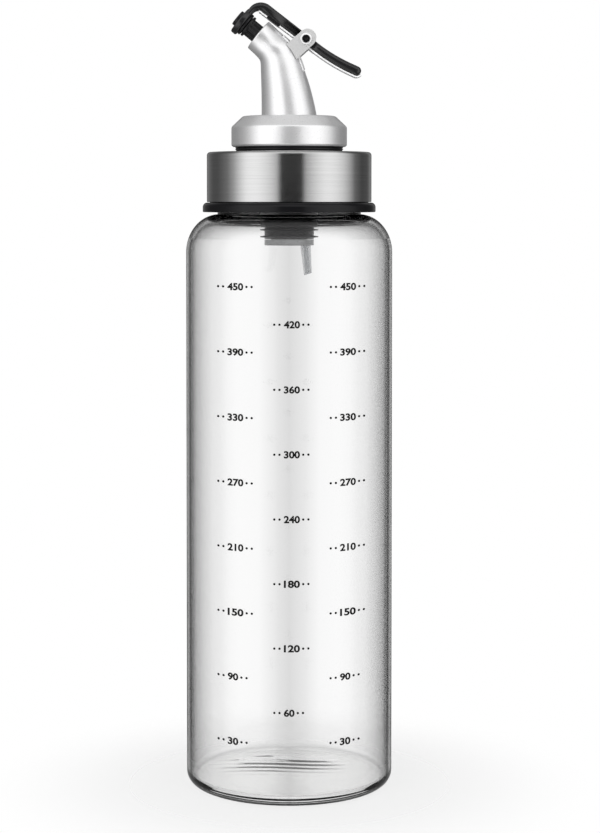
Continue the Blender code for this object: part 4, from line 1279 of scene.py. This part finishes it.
def grained(name):
    """The material of one row of SURFACES."""
    scale, bump, roughs, *colors, more = SURFACES[name]
    surface, shader, _, node, join, _ = blank(name)
    set_inputs(shader, more)
    texture = noise(node, join, node("TexCoord"), "Object", (1, 1, 1), scale, GRAIN_DETAIL)
    vary(node, join, shader, texture, GRAIN_ENDS, bump, roughs, colors)
    return surface


def clear_glass():
    surface, shader, output, node, join, mix = blank("clear_glass")
    set_inputs(shader, GLASS_VALUES)
    coords = node("TexCoord")
    texture = noise(node, join, coords, "Object", GLASS_STRETCH, GLASS_NOISE, 1.0)
    vary(node, join, shader, texture, GRAIN_ENDS, GLASS_BUMP, GLASS_ROUGHNESS)
    radius = distance_from_axis(node, join, coords)
    height = join(coords, node("SeparateXYZ"), "Object")
    # Painted shade: the glass's colour darkens as its walls turn edge-on, inner and outer walls by their own
    # stops.
    edge = node("LayerWeight", in_Blend=0.5)
    inner = gray_ramp(node, join, edge, "Facing", INNER_WALL_PAINTED_SHADE_STOPS)
    outer = gray_ramp(node, join, edge, "Facing", OUTER_WALL_PAINTED_SHADE_STOPS)
    wall = box_of("glass_bottle")[1].x
    outside = join(radius, node("Math", operation="GREATER_THAN", in_1=wall - BODY_WALL / 2), "Value")
    painted_edge_shade = mix((outside, 0), inner, outer)
    # The floor of the jar lies inside the heel and keeps one light tint.
    flat_end = wall - BODY_WALL - INNER_HEEL_RADIUS
    heel = node("MapRange", in_1=flat_end, in_2=flat_end + INNER_HEEL_RADIUS / 2)
    join(radius, heel, "Value")
    above = node("Math", operation="GREATER_THAN", in_1=BASE_THICKNESS + INNER_HEEL_RADIUS)
    join(height, above, 2)
    upright = join(heel, node("Math", operation="MAXIMUM"))
    join(above, upright, 0, 1)
    join(mix((upright, 0), FLOOR_TINT, painted_edge_shade)[0], shader, 2, "Base Color")
    # Light that casts a shadow goes straight through.
    clear = node("BsdfTransparent", in_Color=gray(GLASS_SHADOW))
    either = join(node("LightPath"), node("MixShader"), "Is Shadow Ray")
    join(shader, either, 0, 1)
    join(clear, either, 0, 2)
    join(either, output)
    return surface


def brushed_steel():
    """Steel with fine lines round the axis, on the side by height and on the top by radius."""
    surface, shader, _, node, join, _ = blank("brushed_steel")
    set_inputs(shader, STEEL_VALUES)
    coords = node("TexCoord")
    split = join(coords, node("SeparateXYZ"), "Object")
    level = join(split, node("Math", operation="ADD"), 2)
    join(distance_from_axis(node, join, coords), level, "Value", 1)
    lines = join(split, node("CombineXYZ"))
    join(split, lines, 1, 1)
    join(level, lines, 0, 2)
    texture = noise(node, join, lines, 0, STEEL_LINES, 1.0, STEEL_DETAIL, in_Roughness=STEEL_LINE_ROUGHNESS)
    vary(node, join, shader, texture, STEEL_ENDS, STEEL_BUMP, STEEL_ROUGHNESS, STEEL_COLORS)
    join(node("Tangent", direction_type="RADIAL", axis="Z"), shader, 0, "Tangent")
    return surface


# Studio

def make_world():
    world = bpy.data.worlds.new("studio")
    bpy.context.scene.world = world
    world.use_nodes = True
    world.node_tree.nodes.clear()
    node, join, mix = node_tools(world.node_tree)
    split = join(node("TexCoord"), node("SeparateXYZ"))
    flip = join(split, node("Math", operation="MULTIPLY", in_1=-1.0), 1)
    angle = join(split, node("Math", operation="ARCTAN2"))
    join(flip, angle, 0, 1)
    place = join(angle, node("MapRange", in_1=-pi, in_2=pi))

    def rise(ends, axis):
        """Goes smoothly from 0 to 1 along one axis of the direction that is looked in."""
        values = {"in_1": ends[0], "in_2": ends[1], "interpolation_type": "SMOOTHSTEP"}
        return join(split, node("MapRange", **values), axis), 0

    band = join(rise(BAND_START, 2)[0], node("Math", operation="MULTIPLY"))
    join(rise(BAND_FRONT, 1)[0], band, 0, 1)
    glossy = mix((band, 0), gray_ramp(node, join, place, 0, GLOSSY_STOPS), gray(BAND_LEVEL))
    glossy = mix(rise(ROOF_START, 2), glossy, gray(ROOF_LEVEL))
    glossy = mix(rise(UNDER_START, 2), glossy, gray(UNDER_LEVEL))
    scale = node("VectorMath", operation="MULTIPLY", in_1=gray(GLOSSY_LEVEL)[:3])
    clear = mix(rise(CEILING_START, 2), gray_ramp(node, join, place, 0, CLEAR_STOPS), gray(CEILING_LEVEL))
    path = node("LightPath")
    color = mix((path, "Is Glossy Ray"), gray(PLAIN_LEVEL), (join(glossy[0], scale, 2), 0))
    color = mix((path, "Is Transmission Ray"), color, clear)
    color = mix((path, "Is Camera Ray"), color, gray(1))
    join(join(color[0], node("Background"), 2), node("OutputWorld"))


def make_lights():
    for name, place, size, power in LAMPS:
        data = bpy.data.lights.new(name, "AREA")
        put(data, shape="RECTANGLE", size=size[0], size_y=size[1], energy=power)
        turn = (Vector(LAMP_TARGET) - Vector(place)).to_track_quat("-Z", "Y").to_euler()
        put(add_object(name, data), location=place, rotation_euler=turn, visible_glossy=False,
            visible_transmission=False)


def make_floor():
    """A round pale floor that fades out to the white room."""
    shape = bmesh.new()
    bmesh.ops.create_circle(shape, cap_ends=True, radius=STAGE_RADIUS, segments=STAGE_STEPS)
    floor = add_object("floor", as_mesh("floor", shape))
    floor.location.z = -STAGE_DROP
    surface = bpy.data.materials.new("pale_floor")
    surface.use_nodes = True
    surface.node_tree.nodes.clear()
    node, join, _ = node_tools(surface.node_tree)
    length = join(node("TexCoord"), node("VectorMath", operation="LENGTH"), "Object")
    start, end = STAGE_FADE
    fade = node("MapRange", in_1=start, in_2=end, in_3=STAGE_CLEAR, interpolation_type="SMOOTHSTEP")
    join(length, fade, "Value")
    either = join(fade, node("MixShader"))
    join(node("BsdfDiffuse", in_Color=gray(STAGE_LEVEL)), either, 0, 1)
    join(node("BsdfTransparent"), either, 0, 2)
    join(either, node("OutputMaterial"))
    floor.data.materials.append(surface)


def make_camera():
    data = put(bpy.data.cameras.new("camera"), lens=FOCAL_PX / FRAME_LONG_PX * SENSOR_MM, sensor_fit="AUTO",
               sensor_width=SENSOR_MM, shift_x=SHIFT_X, shift_y=SHIFT_Y, clip_start=CLIP_START)
    bpy.context.scene.camera = put(add_object("camera", data), location=(0, -CAMERA_DISTANCE, CAMERA_HEIGHT),
                                   rotation_euler=(radians(90 - CAMERA_TILT_DEG), 0, 0))


# Pieces: how each is made, its look, its body and the CAD node that it replaces. A look has the name of its
# slot in the record, except these.
SLOTS = {"black_ink": "black_plastic", "vent_plastic": "grey_plastic", "steel_painted_highlight": "bright_steel"}
PIECES = (
    (make_glass, "clear_glass", "bottle", "glass_bottle"),
    (make_scale, "black_ink", "bottle"),
    (make_gasket, "clear_silicone", "seal", "cap_gasket"),
    (make_ring, "black_plastic", "ring", "grip_ring"),
    (make_cap, "black_plastic", "cap", "threaded_cap"),
    (make_sleeve, "brushed_steel", "cap", "steel_sleeve"),
    (make_stopper, "black_rubber", "pourer", "silicone_stopper"),
    (make_core, "grey_plastic", "pourer", "stopper_core"),
    (make_vent, "vent_plastic", "pourer", "vent_tube"),
    (make_disc, "satin_silver", "pourer", "pourer_base"),
    (make_spout, "satin_silver", "pourer", "spout_body"),
    (make_nozzle, "black_rubber", "pourer", "nozzle_tip"),
    (make_pin, "black_plastic", "pourer", "pivot_pin"),
    # The washers and the arm strip take the pale steel, whose near-white colour is a painted highlight.
    (partial(make_washer, "pin_washer_front"), "steel_painted_highlight", "pourer", "pin_washer_front"),
    (partial(make_washer, "pin_washer_back"), "steel_painted_highlight", "pourer", "pin_washer_back"),
    (make_lever, "gloss_black", "flip_lever", "lever"),
    (make_strip, "steel_painted_highlight", "flip_lever", "lever_strip"),
    (make_button, "black_rubber", "flip_lever", "seal_button"),
)


def main():
    bpy.context.scene.view_settings.view_transform = "Standard"
    make_camera()
    make_world()
    make_lights()
    make_floor()
    looks = {name: grained(name) for name in SURFACES}
    looks["clear_glass"] = clear_glass()
    looks["brushed_steel"] = brushed_steel()
    for make, look, body, *nodes in PIECES:
        dress(make(), looks[look], body, SLOTS.get(look, look), *nodes)
    make_spring(looks["bright_steel"])
    make_bracket(looks["matte_grey"], looks["steel_painted_highlight"])


main()
